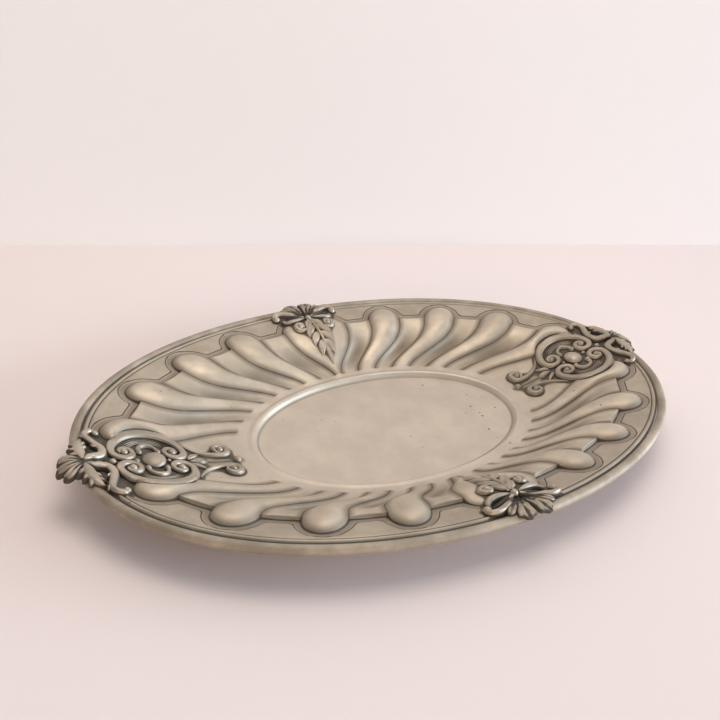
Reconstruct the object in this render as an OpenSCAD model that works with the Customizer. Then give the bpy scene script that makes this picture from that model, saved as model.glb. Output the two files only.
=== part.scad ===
// Oval pewter tray. A shallow body has a flat well and a border of lobes and flutes. A bead is
// soldered round its edge, a cast cartouche at each end and a cast acanthus leaf at each side.
// The tray stands on the underside of its well, with +X along its length and +Z up.

/* [Tray] */
// Length of the tray over the rim bead
tray_length = 420; // [400:1:450]
// Width of the tray over the rim bead
tray_width = 285; // [270:1:305]
// Fullness of the oval, where 2 is a true ellipse
oval_fullness = 2.06; // [2:0.01:2.15]
// Depth from the rim down to the floor of the well
tray_depth = 26; // [22:0.5:32]
// Thickness of the metal
wall = 2; // [1.4:0.1:3]
// Solder film between two pieces that are joined
solder_film = 0.3; // [0.2:0.05:0.4]

/* [Well] */
// Length of the ridge round the well
well_length = 199; // [185:1:210]
// Width of the ridge round the well
well_width = 129; // [118:1:136]
// Width of the cove between the ridge and the flat floor
cove_width = 6; // [4:0.5:9]
// Height of the ridge above the floor
ridge_height = 3; // [2:0.25:4.5]

/* [Rim] */
// Width of the rim bead
bead_width = 6; // [5:0.25:7]
// Height of the rim bead
bead_height = 5.6; // [4.6:0.1:6.6]
// How far the bead stands above the border
bead_rise = 1.2; // [0.6:0.1:1.8]
// Width of the groove beside the bead
groove_width = 1; // [0.7:0.1:1.4]
// Width of the raised fillet beside the groove
fillet_width = 2; // [1.4:0.1:2.6]
// Height of the fillet
fillet_rise = 0.5; // [0.3:0.1:0.8]

/* [Lobes] */
// Lobes in each quarter of the border
lobes_per_quarter = 4; // [3:1:5]
// Height of a lobe along its length
lobe_height = 3.5; // [2.6:0.1:4.6]
// How much higher than that its bulb stands
bulb_rise = 1.5; // [0.8:0.1:2.4]
// Depth of a flute along its middle
flute_depth = 3.4; // [2.2:0.1:4.4]
// Height of the lip at a flute's outer end
lip_rise = 2; // [1:0.1:2.6]
// Share of the pitch that a lobe takes at its bulb
lobe_share = 0.54; // [0.5:0.005:0.6]
// Share of the pitch that a lobe takes at the well
lobe_share_in = 0.5; // [0.45:0.005:0.55]
// Distance from the tray's end to the tip of a bulb
bulb_inset = 16; // [15:0.5:19]
// Length of the rounded tip of a bulb
bulb_length = 15; // [11:0.5:18]
// Distance from the tray's end to the outer end of a flute
flute_inset = 32.5; // [28:0.5:38]
// Width of the plain bed under an end ornament, at the bulbs
bed_width = 38; // [32:1:44]
// Width of that bed at the well
bed_width_in = 62; // [52:1:70]
// Width of the lobe under a side ornament, at the bulbs
leaf_lobe_width = 52; // [46:1:58]
// Width of that lobe at the well
leaf_lobe_width_in = 6; // [4:0.5:9]

/* [End ornament] */
// Distance from one volute of the cartouche to the next, along the tray
volute_pitch = 28.5; // [26:0.5:32]
// Distance from the tray's long axis to a volute's centre
volute_offset = 8.6; // [8.2:0.1:9.6]
// Radius of a volute, to the middle of its strap
volute_radius = 7; // [6.4:0.1:7.4]
// Width of the cartouche, to the middle of its strap
frame_width = 54; // [50:0.5:58]
// Width of the strap at its widest
strap_width = 5.4; // [4:0.2:6]
// Height of the strap
strap_height = 3.4; // [2.4:0.1:4.4]
// Length of the oval boss
boss_length = 12.6; // [10:0.2:13.6]
// Width of the oval boss
boss_width = 12.6; // [10:0.2:13.4]
// Height of the oval boss
boss_height = 4.8; // [3:0.1:6]
// Radius of the beads beside the boss
boss_bead_radius = 1.5; // [1:0.1:1.7]
// Radius of the pellet between the cartouche and the crest
pellet_radius = 1.9; // [1.4:0.1:2.2]
// Radius of the bead at the inner tip
tail_bead_radius = 2.3; // [1.6:0.1:2.8]
// Length of the tail, from the cartouche to its volutes
tail_length = 24.5; // [22:0.5:28]
// Height of the tail scrolls and the trefoil
tail_height = 2.5; // [1.6:0.1:3.4]
// How far the sprays reach in from the tray's end
spray_depth = 19.5; // [18:0.5:22]
// Height of the sprays
spray_height = 3.2; // [2.2:0.1:4.2]
// Length of the crest
crest_length = 17; // [15:0.5:20]
// Width of the crest
crest_width = 22; // [18:0.5:24]
// How far the crest stands out over the tray's edge
crest_overhang = 10.5; // [7:0.5:12]
// Height of the crest
crest_height = 3.6; // [2.4:0.1:4.8]

/* [Side ornament] */
// Distance from the tray's edge to the knot of a side ornament
knot_inset = 20; // [19:0.5:22]
// Radius of the knot
knot_radius = 2.2; // [1.6:0.1:2.4]
// Length of the hanging leaf
leaf_length = 40; // [36:0.5:42]
// Width of the hanging leaf
leaf_width = 17.5; // [14:0.5:18]
// Height of the hanging leaf
leaf_height = 2.4; // [1.6:0.1:3.2]
// Radius of a side volute, to the middle of its strap
side_volute_radius = 3.6; // [3.2:0.1:4]
// Width of the crest at a side
side_crest_width = 27; // [23:0.5:29]
// How far a side's crest stands out over the tray's edge
side_crest_overhang = 4; // [2:0.5:6]

/* [Hidden] */

pewter = "#a39d8f";
dark_pewter = "#8b8679";

// Half axes of the tray and of the ridge round the well
half_l = tray_length / 2;
half_w = tray_width / 2;
ridge_a = well_length / 2;
ridge_b = well_width / 2;

// Heights of the rim's face, the well's floor and its ridge
rim_z = wall + tray_depth;
floor_z = wall;
ridge_z = floor_z + ridge_height;

// The border is counted in shares of its run, 0 at the ridge and 1 at the tray's edge
border_run = half_l - ridge_a;
function share(inset) = 1 - inset / border_run;
tip_s = share(bulb_inset);
cap_s = share(bulb_inset + bulb_length);
flute_s = share(flute_inset);
step_run = 2;
step_s = share(flute_inset - step_run);

// The body's edge stops short of the bead by the film of solder
edge_inset = bead_width + solder_film;
fillet_inset = edge_inset + groove_width + fillet_width;

function lerp(a, b, f) = a + (b - a) * f;
function clamp01(f) = max(0, min(1, f));
function ease(f) = let (c = clamp01(f)) c * c * (3 - 2 * c);

// Point at angle t on an oval with half axes h
function oval(h, t) = [
    h[0] * sign(cos(t)) * pow(abs(cos(t)), 2 / oval_fullness),
    h[1] * sign(sin(t)) * pow(abs(sin(t)), 2 / oval_fullness)
];

// Inset of the border's oval across the tray, for its inset i along the tray. Out to the ends of
// the flutes the two are the same, and from there they draw together to the ridge round the well.
even_inset = flute_inset + 1.5;
ridge_slope = 0.7;
function cross_inset(i) =
    let (
        run = border_run - even_inset,
        cross_run = half_w - ridge_b - even_inset,
        t = (i - even_inset) / run,
        near = run / cross_run,
        far = ridge_slope * near
    )
    i < even_inset ? i :
    even_inset + cross_run * t * (near + t * (3 - 2 * near - far + t * (near + far - 2)));

// Half axes of the border's oval at share s, and of an oval set in from the tray's edge
function border_axes(s) = let (i = (1 - s) * border_run) [half_l - i, half_w - cross_inset(i)];
function inset_axes(inset) = border_axes(share(inset));

// Whether a point lies inside an oval, and the angle at which it lies in the first quarter
function in_oval(p, h) =
    pow(abs(p[0]) / h[0], oval_fullness) + pow(abs(p[1]) / h[1], oval_fullness) < 1;
function oval_angle(p, h) = atan2(
    pow(abs(p[1]) / h[1], oval_fullness / 2),
    pow(abs(p[0]) / h[0], oval_fullness / 2)
);

// Share of the border at which a point lies, by halving a span
halvings = 20;
function share_at(p, lo = -0.5, hi = 1.4, n = halvings) =
    let (mid = (lo + hi) / 2)
    n == 0 ? mid : in_oval(p, border_axes(mid)) ? share_at(p, lo, mid, n - 1) : share_at(p, mid, hi, n - 1);

// Angles against length along a quarter of an oval
function arc_table(h) = [
    for (t = 0, run = 0; t <= 90; run = run + norm(oval(h, t + 1) - oval(h, t)), t = t + 1) [run, t]
];

// Angles of the creases in a quarter: the bed's edge, each lobe's two edges, the leaf lobe's edge
function creases(h, bed, leaf, lobe_part) =
    let (
        table = arc_table(h),
        quarter = table[len(table) - 1][0],
        pitch = (quarter - bed / 2 - leaf / 2) / lobes_per_quarter
    )
    concat(
        [0],
        [for (i = [0 : lobes_per_quarter - 1], edge = [0, lobe_part])
            lookup(bed / 2 + (i + edge) * pitch, table)],
        [lookup(quarter - leaf / 2, table), 90]
    );
lean_from = 0.08;
lean_to = 0.66;
crease_out = creases(border_axes(flute_s), bed_width, leaf_lobe_width, lobe_share);
crease_in = creases(border_axes(lean_from), bed_width_in, leaf_lobe_width_in, lobe_share_in);
function lean(s) = ease((s - lean_from) / (lean_to - lean_from));
function plain_crease(k, s) = lerp(crease_in[k], crease_out[k], lean(s));

// Places of the ornaments
frame_half = volute_pitch / 2 + volute_radius;
frame_gap = 2.75;
boss_x = half_l - spray_depth - frame_gap - frame_half;
trefoil_x = boss_x - frame_half;
tail_x = trefoil_x - tail_length;
knot_y = half_w - knot_inset;

// The bed bulges round a cartouche, so the first crease runs along the outside of its strap
bed_margin = 1;
bed_half = [frame_half, frame_width / 2] + (strap_width / 2 + bed_margin) * [1, 1];
function in_bed(p) = norm([(p[0] - boss_x) / bed_half[0], p[1] / bed_half[1]]) < 1;
function bed_angle(s, lo = 0, hi = crease_out[2], n = halvings) =
    let (mid = (lo + hi) / 2)
    n == 0 ? lo :
    in_bed(oval(border_axes(s), mid)) ? bed_angle(s, mid, hi, n - 1) : bed_angle(s, lo, mid, n - 1);
function crease(k, s) = k == 1 ? max(plain_crease(k, s), bed_angle(s)) : plain_crease(k, s);

// Stretches of a quarter: a bed, then lobes and flutes in turn, then half of the leaf lobe
stretches = len(crease_out) - 1;
function is_bed(k) = k == 0;
function is_leaf_lobe(k) = k == stretches - 1;
function is_lobe(k) = k % 2 == 1;

// Height of the smooth border, of a lobe and of a flute at share s
function ground(s) = lerp(ridge_z, rim_z, ease(s));
lobe_low = 0.28;
lobe_starts = 0.16;
lobe_full = 0.72;
flute_full = 0.45;
flute_end = 0.12;
lip_from = 0.5;
dome_power = 0.8;
bulb_power = 0.8;
bulb_back = 0.2;
function lobe_crown(s) =
    lobe_height * lerp(lobe_low * ease(s / lobe_starts), 1, ease((s - lean_from) / (lobe_full - lean_from)));
function flute_sag(s) =
    flute_depth * ease(s / flute_full) * lerp(1, flute_end, ease((s - flute_full) / (flute_s - flute_full)));
function lip(s) = s > flute_s ? 0 : lip_rise * ease((s - lip_from) / (flute_s - lip_from));
function dome(r, power) = pow(clamp01(1 - r * r), power);

// Relief at place u across stretch k, where u runs from -1 to 1, and flutes end at share s_end. A
// lobe's flank starts from the lip of the flute beside it, and there is no flute beside the bed.
function relief(k, u, s, s_end) =
    let (
        cap = max(0, (s - cap_s) / (tip_s - cap_s)),
        back = max(0, (cap_s - s) / bulb_back),
        roll = lobe_crown(s) * dome(norm([u, cap]), dome_power),
        bulb = is_leaf_lobe(k) ? 0 : bulb_rise * dome(norm([u, cap + back]), bulb_power),
        beside_bed = k == 1 && u < 0
    )
    is_bed(k) ? 0 :
    is_leaf_lobe(k) || is_lobe(k) ? max(roll + bulb, beside_bed ? 0 : lip(s)) :
    s > s_end ? 0 : lip(s) - flute_sag(s) * (1 - u * u);
function across(k, f) = is_leaf_lobe(k) ? f - 1 : 2 * f - 1;

// Height of the body's face at a point, found from its share and its place among the creases
function stretch_at(t, s) = max([for (k = [0 : stretches - 1]) if (crease(k, s) <= t) k]);
function body_z(p) =
    let (
        s = clamp01(share_at(p)),
        t = oval_angle(p, border_axes(s)),
        k = stretch_at(t, s),
        f = (t - crease(k, s)) / (crease(k + 1, s) - crease(k, s))
    )
    ground(s) + relief(k, across(k, f), s, flute_s);

// Ornaments lie on the body, ride up over the fillet and bead, and droop past the edge
lift_run = 3.5;
droop = 4;
function seat_z(p) =
    let (
        inset = (1 - share_at(p)) * border_run,
        lift = bead_rise * ease((fillet_inset + lift_run / 2 - inset) / lift_run),
        past = min(0, inset) / crest_overhang
    )
    body_z(p) + lift - droop * past * past + solder_film;

// Mesh of rings that share one count of points, closed by a point at each end
function ring_faces(rings, count) = concat(
    [for (j = [0 : count - 1]) [0, 1 + (j + 1) % count, 1 + j]],
    [for (i = [0 : rings - 2], j = [0 : count - 1], half = [0, 1])
        let (
            a = 1 + i * count + j,
            b = 1 + i * count + (j + 1) % count
        )
        half == 0 ? [a, b, b + count] : [a, b + count, a + count]],
    [for (j = [0 : count - 1]) let (last = 1 + (rings - 1) * count)
        [last + j, last + (j + 1) % count, last + count]]
);

// Columns of the body's mesh: a stretch and a place within it, in one quarter
bed_columns = 4;
lobe_columns = 5;
flute_columns = 4;
leaf_lobe_columns = 6;
function columns_in(k) =
    is_bed(k) ? bed_columns :
    is_leaf_lobe(k) ? leaf_lobe_columns :
    is_lobe(k) ? lobe_columns : flute_columns;
quarter_columns = concat(
    [for (k = [0 : stretches - 1], i = [0 : columns_in(k) - 1]) [k, i / columns_in(k)]],
    [[stretches - 1, 1]]
);
per_quarter = len(quarter_columns) - 1;
column_count = 4 * per_quarter;
function quarter_of(j) = floor(j / per_quarter);
function column(j) =
    let (i = j % per_quarter)
    quarter_columns[quarter_of(j) % 2 == 0 ? i : per_quarter - i];
function column_angle(j, s) =
    let (
        c = column(j),
        t = lerp(crease(c[0], s), crease(c[0] + 1, s), c[1]),
        turn = 90 * quarter_of(j)
    )
    quarter_of(j) % 2 == 0 ? turn + t : turn + 90 - t;

// Ring of the body at share s, on an oval with half axes h, with its relief scaled and dropped
function body_ring(h, s, lobe_scale, s_end, drop) = [
    for (j = [0 : column_count - 1])
        let (
            c = column(j),
            p = oval(h, column_angle(j, s)),
            r = relief(c[0], across(c[0], c[1]), s, s_end)
        )
        [p[0], p[1], ground(s) + (r > 0 ? r * lobe_scale : r) - drop]
];
function level_ring(h, s, z) = [
    for (j = [0 : column_count - 1])
        let (p = oval(h, column_angle(j, s)))
        [p[0], p[1], z]
];
function well_axes(inset) = [ridge_a - inset, ridge_b - inset];

// Rows of the face, from the well out, and of the underside, from the edge in
tail_rows = 9;
cap_rows = 7;
cove_mid = 0.45;
lead = 0.45;
lead_s = lerp(tip_s, share(fillet_inset), lead);
fillet_z = ground(share(fillet_inset));
groove_z = fillet_z - fillet_rise / 2;
face_shares = concat(
    [for (i = [0 : tail_rows - 1]) flute_s * i / tail_rows],
    [flute_s, step_s],
    [for (i = [1 : cap_rows]) lerp(step_s, tip_s, i / cap_rows)]
);
under_step = 6;
under_rows = 4;
under_from = 0.8;
under_shares = concat(
    [tip_s, share(flute_inset - step_run - under_step), step_s],
    [for (i = [under_rows : -1 : 0]) under_from * step_s * i / under_rows]
);
lobe_hollow = 0.55;

module tray_body() {
    face = concat(
        level_ring(well_axes(cove_width), 0, floor_z),
        level_ring(well_axes(cove_width / 2), 0, floor_z + ridge_height * cove_mid),
        [for (s = face_shares) each body_ring(border_axes(s), s, 1, flute_s, 0)],
        level_ring(border_axes(lead_s), 1, ground(lead_s)),
        level_ring(inset_axes(fillet_inset), 1, fillet_z),
        level_ring(inset_axes(fillet_inset - fillet_width / 2), 1, fillet_z + fillet_rise),
        level_ring(inset_axes(edge_inset + groove_width), 1, groove_z),
        level_ring(inset_axes(edge_inset), 1, groove_z)
    );
    underside = concat(
        level_ring(inset_axes(edge_inset), 1, fillet_z - wall),
        [for (s = under_shares) each body_ring(border_axes(s), s, lobe_hollow, step_s, wall)],
        level_ring(well_axes(cove_width), 0, 0)
    );
    rings = (len(face) + len(underside)) / column_count;
    points = concat([[0, 0, floor_z]], face, underside, [[0, 0, 0]]);
    color(pewter) polyhedron(points, ring_faces(rings, column_count));
}

// Closed tube of given sections round a closed path
function loop_faces(rings, sides) = [
    for (i = [0 : rings - 1], k = [0 : sides - 1], half = [0, 1])
        let (
            a = i * sides + k,
            b = i * sides + (k + 1) % sides,
            c = ((i + 1) % rings) * sides + (k + 1) % sides,
            d = ((i + 1) % rings) * sides + k
        )
        half == 0 ? [a, c, b] : [a, d, c]
];

bead_rings = 120;
bead_sides = 8;
module rim_bead() {
    bead_z = rim_z + bead_rise - bead_height / 2;
    points = [
        for (i = [0 : bead_rings - 1], k = [0 : bead_sides - 1])
            let (
                turn = 360 * (k + 0.5) / bead_sides,
                round_out = 1 / cos(180 / bead_sides),
                p = oval(inset_axes(bead_width / 2 * (1 + round_out * cos(turn))), 360 * i / bead_rings)
            )
            [p[0], p[1], bead_z + bead_height / 2 * round_out * sin(turn)]
    ];
    color(pewter) polyhedron(points, loop_faces(bead_rings, bead_sides));
}

// Paths in plan
function spiral(centre, r0, r1, a0, a1, n) = [
    for (i = [0 : n])
        let (f = i / n)
        centre + lerp(r0, r1, f) * [cos(lerp(a0, a1, f)), sin(lerp(a0, a1, f))]
];
function arc(centre, rx, ry, a0, a1, n) = [
    for (i = [0 : n]) centre + [rx * cos(lerp(a0, a1, i / n)), ry * sin(lerp(a0, a1, i / n))]
];
function bezier(p, n) = [
    for (i = [0 : n])
        let (
            f = i / n,
            g = 1 - f
        )
        g * g * g * p[0] + 3 * g * g * f * p[1] + 3 * g * f * f * p[2] + f * f * f * p[3]
];
function along(p, n) = [for (i = [0 : n]) lerp(p[0], p[1], i / n)];

// Smooth path through given points, n steps to a span
function through(p, n) =
    let (last = len(p) - 1)
    concat(
        [for (i = [0 : last - 1], j = [0 : n - 1])
            let (
                f = j / n,
                before = p[max(0, i - 1)],
                after = p[min(last, i + 2)]
            )
            (2 * p[i] + (p[i + 1] - before) * f
                + (2 * before - 5 * p[i] + 4 * p[i + 1] - after) * f * f
                + (3 * p[i] - before - 3 * p[i + 1] + after) * f * f * f) / 2],
        [p[last]]
    );
function tail_of(list) = [for (i = [1 : len(list) - 1]) list[i]];
function turned(v) = [-v[1], v[0]] / norm(v);
function side_of(path, i) = turned(path[min(len(path) - 1, i + 1)] - path[max(0, i - 1)]);

// Values along a path: a swell between equal ends, or a list spread evenly from end to end
function swell(path, ends, middle) =
    let (n = len(path) - 1)
    [for (i = [0 : n]) lerp(ends, middle, sin(180 * i / n))];
function spread(path, list) =
    let (n = len(path) - 1)
    [for (i = [0 : n])
        let (
            f = i / n * (len(list) - 1),
            k = min(floor(f), len(list) - 2)
        )
        lerp(list[k], list[k + 1], f - k)];

// Sections of a thin scroll, a strap, a dome, a leaf and a ribbed shell, across from -1 to 1 and
// up from 0 to 1. The wide ones have a point in the middle of their foot, to follow the tray.
foot = [0, 0];
round_section = [[-1, 0], [-0.72, 0.7], [0, 1], [0.72, 0.7], [1, 0]];
strap_section = [foot, [-1, 0], [-0.72, 0.7], [0, 1], [0.72, 0.7], [1, 0]];
dome_section = [foot, [-1, 0], [-0.9, 0.45], [-0.5, 0.86], [0, 1], [0.5, 0.86], [0.9, 0.45], [1, 0]];
leaf_section = [foot, [-1, 0], [-0.92, 0.4], [-0.5, 0.9], [0, 0.6], [0.5, 0.9], [0.92, 0.4], [1, 0]];
shell_section = [
    foot, [-1, 0], [-0.9, 0.45], [-0.72, 0.6], [-0.55, 0.4], [-0.36, 0.8], [-0.2, 0.6], [0, 1],
    [0.2, 0.6], [0.36, 0.8], [0.55, 0.4], [0.72, 0.6], [0.9, 0.45], [1, 0]
];

// Ribbon that lies on the tray along a path, with a half width and a height at each point
module ribbon(path, half, height, section) {
    count = len(section);
    last = len(path) - 1;
    points = [
        for (i = [0 : last], c = section)
            let (p = path[i] + side_of(path, i) * c[0] * half[i])
            [p[0], p[1], seat_z(p) + c[1] * height[i]]
    ];
    faces = concat(
        [for (k = [1 : count - 2]) [0, k + 1, k]],
        [for (i = [0 : last - 1], k = [0 : count - 1], half_face = [0, 1])
            let (
                a = i * count + k,
                b = i * count + (k + 1) % count
            )
            half_face == 0 ? [a, b, b + count] : [a, b + count, a + count]],
        [for (k = [1 : count - 2]) [last * count, last * count + k, last * count + k + 1]]
    );
    polyhedron(points, faces);
}

// Half ball that sits on the tray, tilted as the tray slopes there
slope_step = 0.5;
ball_sides = 32;
module half_ball(p, r) {
    dx = (seat_z(p + [slope_step, 0]) - seat_z(p - [slope_step, 0])) / (2 * slope_step);
    dy = (seat_z(p + [0, slope_step]) - seat_z(p - [0, slope_step])) / (2 * slope_step);
    translate([p[0], p[1], seat_z(p)])
        rotate([atan(dy), -atan(dx), 0])
            rotate_extrude($fn = ball_sides)
                intersection() {
                    circle(r, $fn = ball_sides);
                    square(r);
                }
}

// Ornaments are drawn at the right end and the back, and mirrored to the other places
module at_end(right) {
    if (right) children();
    else mirror([1, 0, 0]) children();
}
module at_side(back) {
    if (back) children();
    else mirror([0, 1, 0]) children();
}
module both_sides_of_x() {
    children();
    mirror([0, 1, 0]) children();
}
module both_sides_of_y() {
    children();
    mirror([1, 0, 0]) children();
}

// Cartouche: two straps that face each other, each rolled into a volute at both ends
volute_eye = 2.3;
volute_turn = 400;
volute_steps = 15;
arch_steps = 16;
strap_end = 1.1;
strap_heights = [0.65, 1, 1, 1, 0.65];
module cartouche_frame(right) {
    outer = [boss_x + volute_pitch / 2, volute_offset];
    inner = [boss_x - volute_pitch / 2, volute_offset];
    arch_rise = frame_width / 2 - volute_offset;
    path = concat(
        spiral(outer, volute_eye, volute_radius, 360 - volute_turn, 360, volute_steps),
        tail_of(arc([boss_x, volute_offset], frame_half, arch_rise, 0, 180, arch_steps)),
        tail_of(spiral(inner, volute_radius, volute_eye, 180, 180 + volute_turn, volute_steps))
    );
    half = spread(path, [strap_end, strap_end, strap_width / 2, strap_end, strap_end]);
    height = spread(path, strap_height * strap_heights);
    color(pewter) at_end(right) both_sides_of_x() ribbon(path, half, height, strap_section);
}

boss_steps = 10;
boss_end = 0.12;
module cartouche_boss(right) {
    path = arc([boss_x, 0], boss_length / 2, 0, 180, 0, boss_steps);
    half = boss_width / 2 * swell(path, boss_end, 1);
    height = boss_height * swell(path, boss_end, 1);
    color(pewter) at_end(right) ribbon(path, half, height, dome_section);
}

// Small scrolls beside the boss, thicker at their ends
inner_scroll_reach = 5.4;
inner_scroll_rise = 6.6;
inner_scroll_gap = 2.8;
inner_scroll_hook = 8;
inner_scroll_steps = 12;
inner_scroll_halves = [1.7, 1.3, 1.5, 1.3, 1.7];
inner_scroll_heights = [2.4, 2, 2.6, 2, 2.4];
module inner_scrolls(right) {
    centre = [boss_x, boss_width / 2 + inner_scroll_gap];
    path = arc(centre, inner_scroll_reach, inner_scroll_rise, -inner_scroll_hook, 180 + inner_scroll_hook,
        inner_scroll_steps);
    half = spread(path, inner_scroll_halves);
    height = spread(path, inner_scroll_heights);
    color(pewter) at_end(right) both_sides_of_x() ribbon(path, half, height, round_section);
}

// Beads on the long axis: beside the boss, before the crest and at the end of the tail
bead_gap = 1.8;
module end_beads(right) {
    boss_bead_x = boss_length / 2 + bead_gap + boss_bead_radius;
    color(pewter) at_end(right) {
        half_ball([boss_x + boss_bead_x, 0], boss_bead_radius);
        half_ball([boss_x - boss_bead_x, 0], boss_bead_radius);
        half_ball([boss_x + frame_half + pellet_radius, 0], pellet_radius);
        half_ball([tail_x - tail_volute_radius - tail_bead_radius, 0], tail_bead_radius);
    }
}

// Trefoil between the cartouche and its tail
long_petal = [[0.5, 0], [-11.5, 0]];
side_petal = [[-2.5, 2.4], [-6.5, 5.4]];
long_petal_halves = [0.5, 1.5, 1.7, 1.4, 0.4];
side_petal_half = 1.2;
petal_tip = 0.25;
petal_steps = 6;
module trefoil(right) {
    long_path = [for (p = along(long_petal, petal_steps)) p + [trefoil_x, 0]];
    side_path = [for (p = along(side_petal, petal_steps)) p + [trefoil_x, 0]];
    height = tail_height * swell(long_path, petal_tip, 1);
    color(pewter) at_end(right) {
        ribbon(long_path, spread(long_path, long_petal_halves), height, round_section);
        both_sides_of_x()
            ribbon(side_path, side_petal_half * swell(side_path, petal_tip, 1), height, round_section);
    }
}

// Tail: two scrolls that taper from the cartouche's flanks and roll up near the well
tail_volute_radius = 5;
tail_volute_gap = 6.2;
tail_eye = 1.9;
tail_steps = 12;
tail_root_gap = 1;
tail_root_share = 1 / 3;
tail_bow = [[-5, 8], [-12, 3.2]];
tail_halves = [0.4, 1.7, 1.9, 1.4, 1];
tail_heights = [0.25, 1, 1, 1, 0.65];
module tail_scrolls(right) {
    centre = [tail_x, tail_volute_gap + tail_volute_radius];
    entry = [tail_x, tail_volute_gap];
    start = [trefoil_x - tail_root_gap, frame_width * tail_root_share];
    bow = [for (p = tail_bow) [start[0] + p[0], p[1]]];
    path = concat(
        bezier([start, bow[0], bow[1], entry], tail_steps),
        tail_of(spiral(centre, tail_volute_radius, tail_eye, 270, 270 - volute_turn, volute_steps))
    );
    half = spread(path, tail_halves);
    height = spread(path, tail_height * tail_heights);
    color(pewter) at_end(right) both_sides_of_x() ribbon(path, half, height, round_section);
}

// Sprays, counted from the tray's end: a stem that curls to a bud, and a leaf along the rim
stem_reach = 19.5;
spray_stem = [
    [-9.5, 3.4], [-15, 4.4], [-17.6, 9], [-17.2, 15], [-14.6, 21], [-12.4, 26.5], [-14, 31.6], [-18, 33]
];
spray_stem_halves = [1.2, 1.9, 2, 1.9, 1.7, 1.5, 2.2, 1.6];
spray_stem_heights = [0.5, 1, 1, 1, 0.8, 0.7, 0.9, 0.5];
spray_leaf = [[-7, 8.5], [-5.2, 13], [-7, 18.5], [-10, 23]];
spray_leaf_half = 2.3;
leaf_tip = 0.28;
spray_steps = 3;
module end_sprays(right) {
    stem = [for (p = through(spray_stem, spray_steps)) [half_l + p[0] * spray_depth / stem_reach, p[1]]];
    leaf = [for (p = through(spray_leaf, spray_steps)) p + [half_l, 0]];
    color(dark_pewter) at_end(right) both_sides_of_x() {
        ribbon(stem, spread(stem, spray_stem_halves), spread(stem, spray_height * spray_stem_heights),
            round_section);
        ribbon(leaf, spray_leaf_half * swell(leaf, leaf_tip, 1), spray_height * swell(leaf, leaf_tip, 1),
            round_section);
    }
}

// Crest: a ribbed shell that spreads over the bead and droops past the edge
crest_steps = 10;
crest_halves = [0.22, 0.5, 0.9, 1, 0.86, 0.36];
crest_heights = [0.5, 1, 1, 0.5];
module end_crest(right) {
    tip_x = half_l + crest_overhang;
    path = along([[tip_x - crest_length, 0], [tip_x, 0]], crest_steps);
    half = spread(path, crest_width / 2 * crest_halves);
    height = spread(path, crest_height * crest_heights);
    color(dark_pewter) at_end(right) ribbon(path, half, height, shell_section);
}

// Side ornament, counted from its knot
module side_knot(back) {
    color(pewter) at_side(back) half_ball([0, knot_y], knot_radius);
}

side_crest_steps = 12;
side_crest_halves = [0.14, 0.26, 0.46, 0.9, 1, 0.3];
side_crest_heights = [0.5, 0.8, 0.9, 0.4];
knot_gap = 1;
module side_crest(back) {
    root_y = knot_y + knot_radius + knot_gap;
    path = along([[0, root_y], [0, half_w + side_crest_overhang]], side_crest_steps);
    half = spread(path, side_crest_width / 2 * side_crest_halves);
    height = spread(path, crest_height * side_crest_heights);
    color(dark_pewter) at_side(back) ribbon(path, half, height, shell_section);
}

// Stems that curl along the rim to buds, with a small leaf under each
side_stem = [[3.6, 1.6], [7.5, 6], [13.5, 11], [19.5, 11.6], [23.6, 7.4]];
side_stem_halves = [0.8, 1.7, 1.9, 1.8, 2.7, 1.8];
side_stem_heights = [0.4, 1, 1, 0.75, 0.95, 0.55];
side_leaflet = [[4, -0.6], [9, 0.4], [14, 1]];
side_leaflet_half = 1.6;
module side_sprays(back) {
    stem = [for (p = through(side_stem, spray_steps)) p + [0, knot_y]];
    leaflet = [for (p = through(side_leaflet, spray_steps)) p + [0, knot_y]];
    color(dark_pewter) at_side(back) both_sides_of_y() {
        ribbon(stem, spread(stem, side_stem_halves), spread(stem, spray_height * side_stem_heights),
            round_section);
        ribbon(leaflet, side_leaflet_half * swell(leaflet, leaf_tip, 1),
            leaf_height * swell(leaflet, leaf_tip, 1), round_section);
    }
}

// Volutes that spring from the knot
side_volute_at = [11.8, -10];
side_volute_eye = 1.5;
side_volute_turn = 380;
side_volute_root = [2.4, -3];
side_volute_bow = [[2, -5], [-4, 0]];
side_volute_halves = [0.6, 1.2, 1.1, 0.8];
side_volute_heights = [0.4, 1, 1, 0.75];
module side_volutes(back) {
    centre = [0, knot_y] + side_volute_at;
    entry = centre - [0, side_volute_radius];
    start = [0, knot_y] + side_volute_root;
    path = concat(
        bezier([start, start + side_volute_bow[0], entry + side_volute_bow[1], entry], tail_steps),
        tail_of(spiral(centre, side_volute_radius, side_volute_eye, 270, 270 + side_volute_turn,
            volute_steps))
    );
    half = spread(path, side_volute_halves);
    height = spread(path, leaf_height * side_volute_heights);
    color(pewter) at_side(back) both_sides_of_y() ribbon(path, half, height, round_section);
}

// Hanging acanthus leaf with notched edges
leaf_steps = 16;
leaf_notches = 4;
leaf_notch = 0.3;
leaf_gap = 2;
leaf_outline = [0.14, 0.4, 0.86, 1, 0.94, 0.76, 0.56, 0.36, 0.08];
leaf_heights = [0.4, 1, 1, 1, 0.25];
module side_leaf(back) {
    root_y = knot_y - knot_radius - leaf_gap;
    path = along([[0, root_y], [0, root_y - leaf_length]], leaf_steps);
    outline = spread(path, leaf_width / 2 * leaf_outline);
    half = [
        for (i = [0 : leaf_steps])
            outline[i] * (1 - leaf_notch * abs(sin(180 * leaf_notches * i / leaf_steps)))
    ];
    height = spread(path, leaf_height * leaf_heights);
    color(pewter) at_side(back) ribbon(path, half, height, leaf_section);
}

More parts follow.
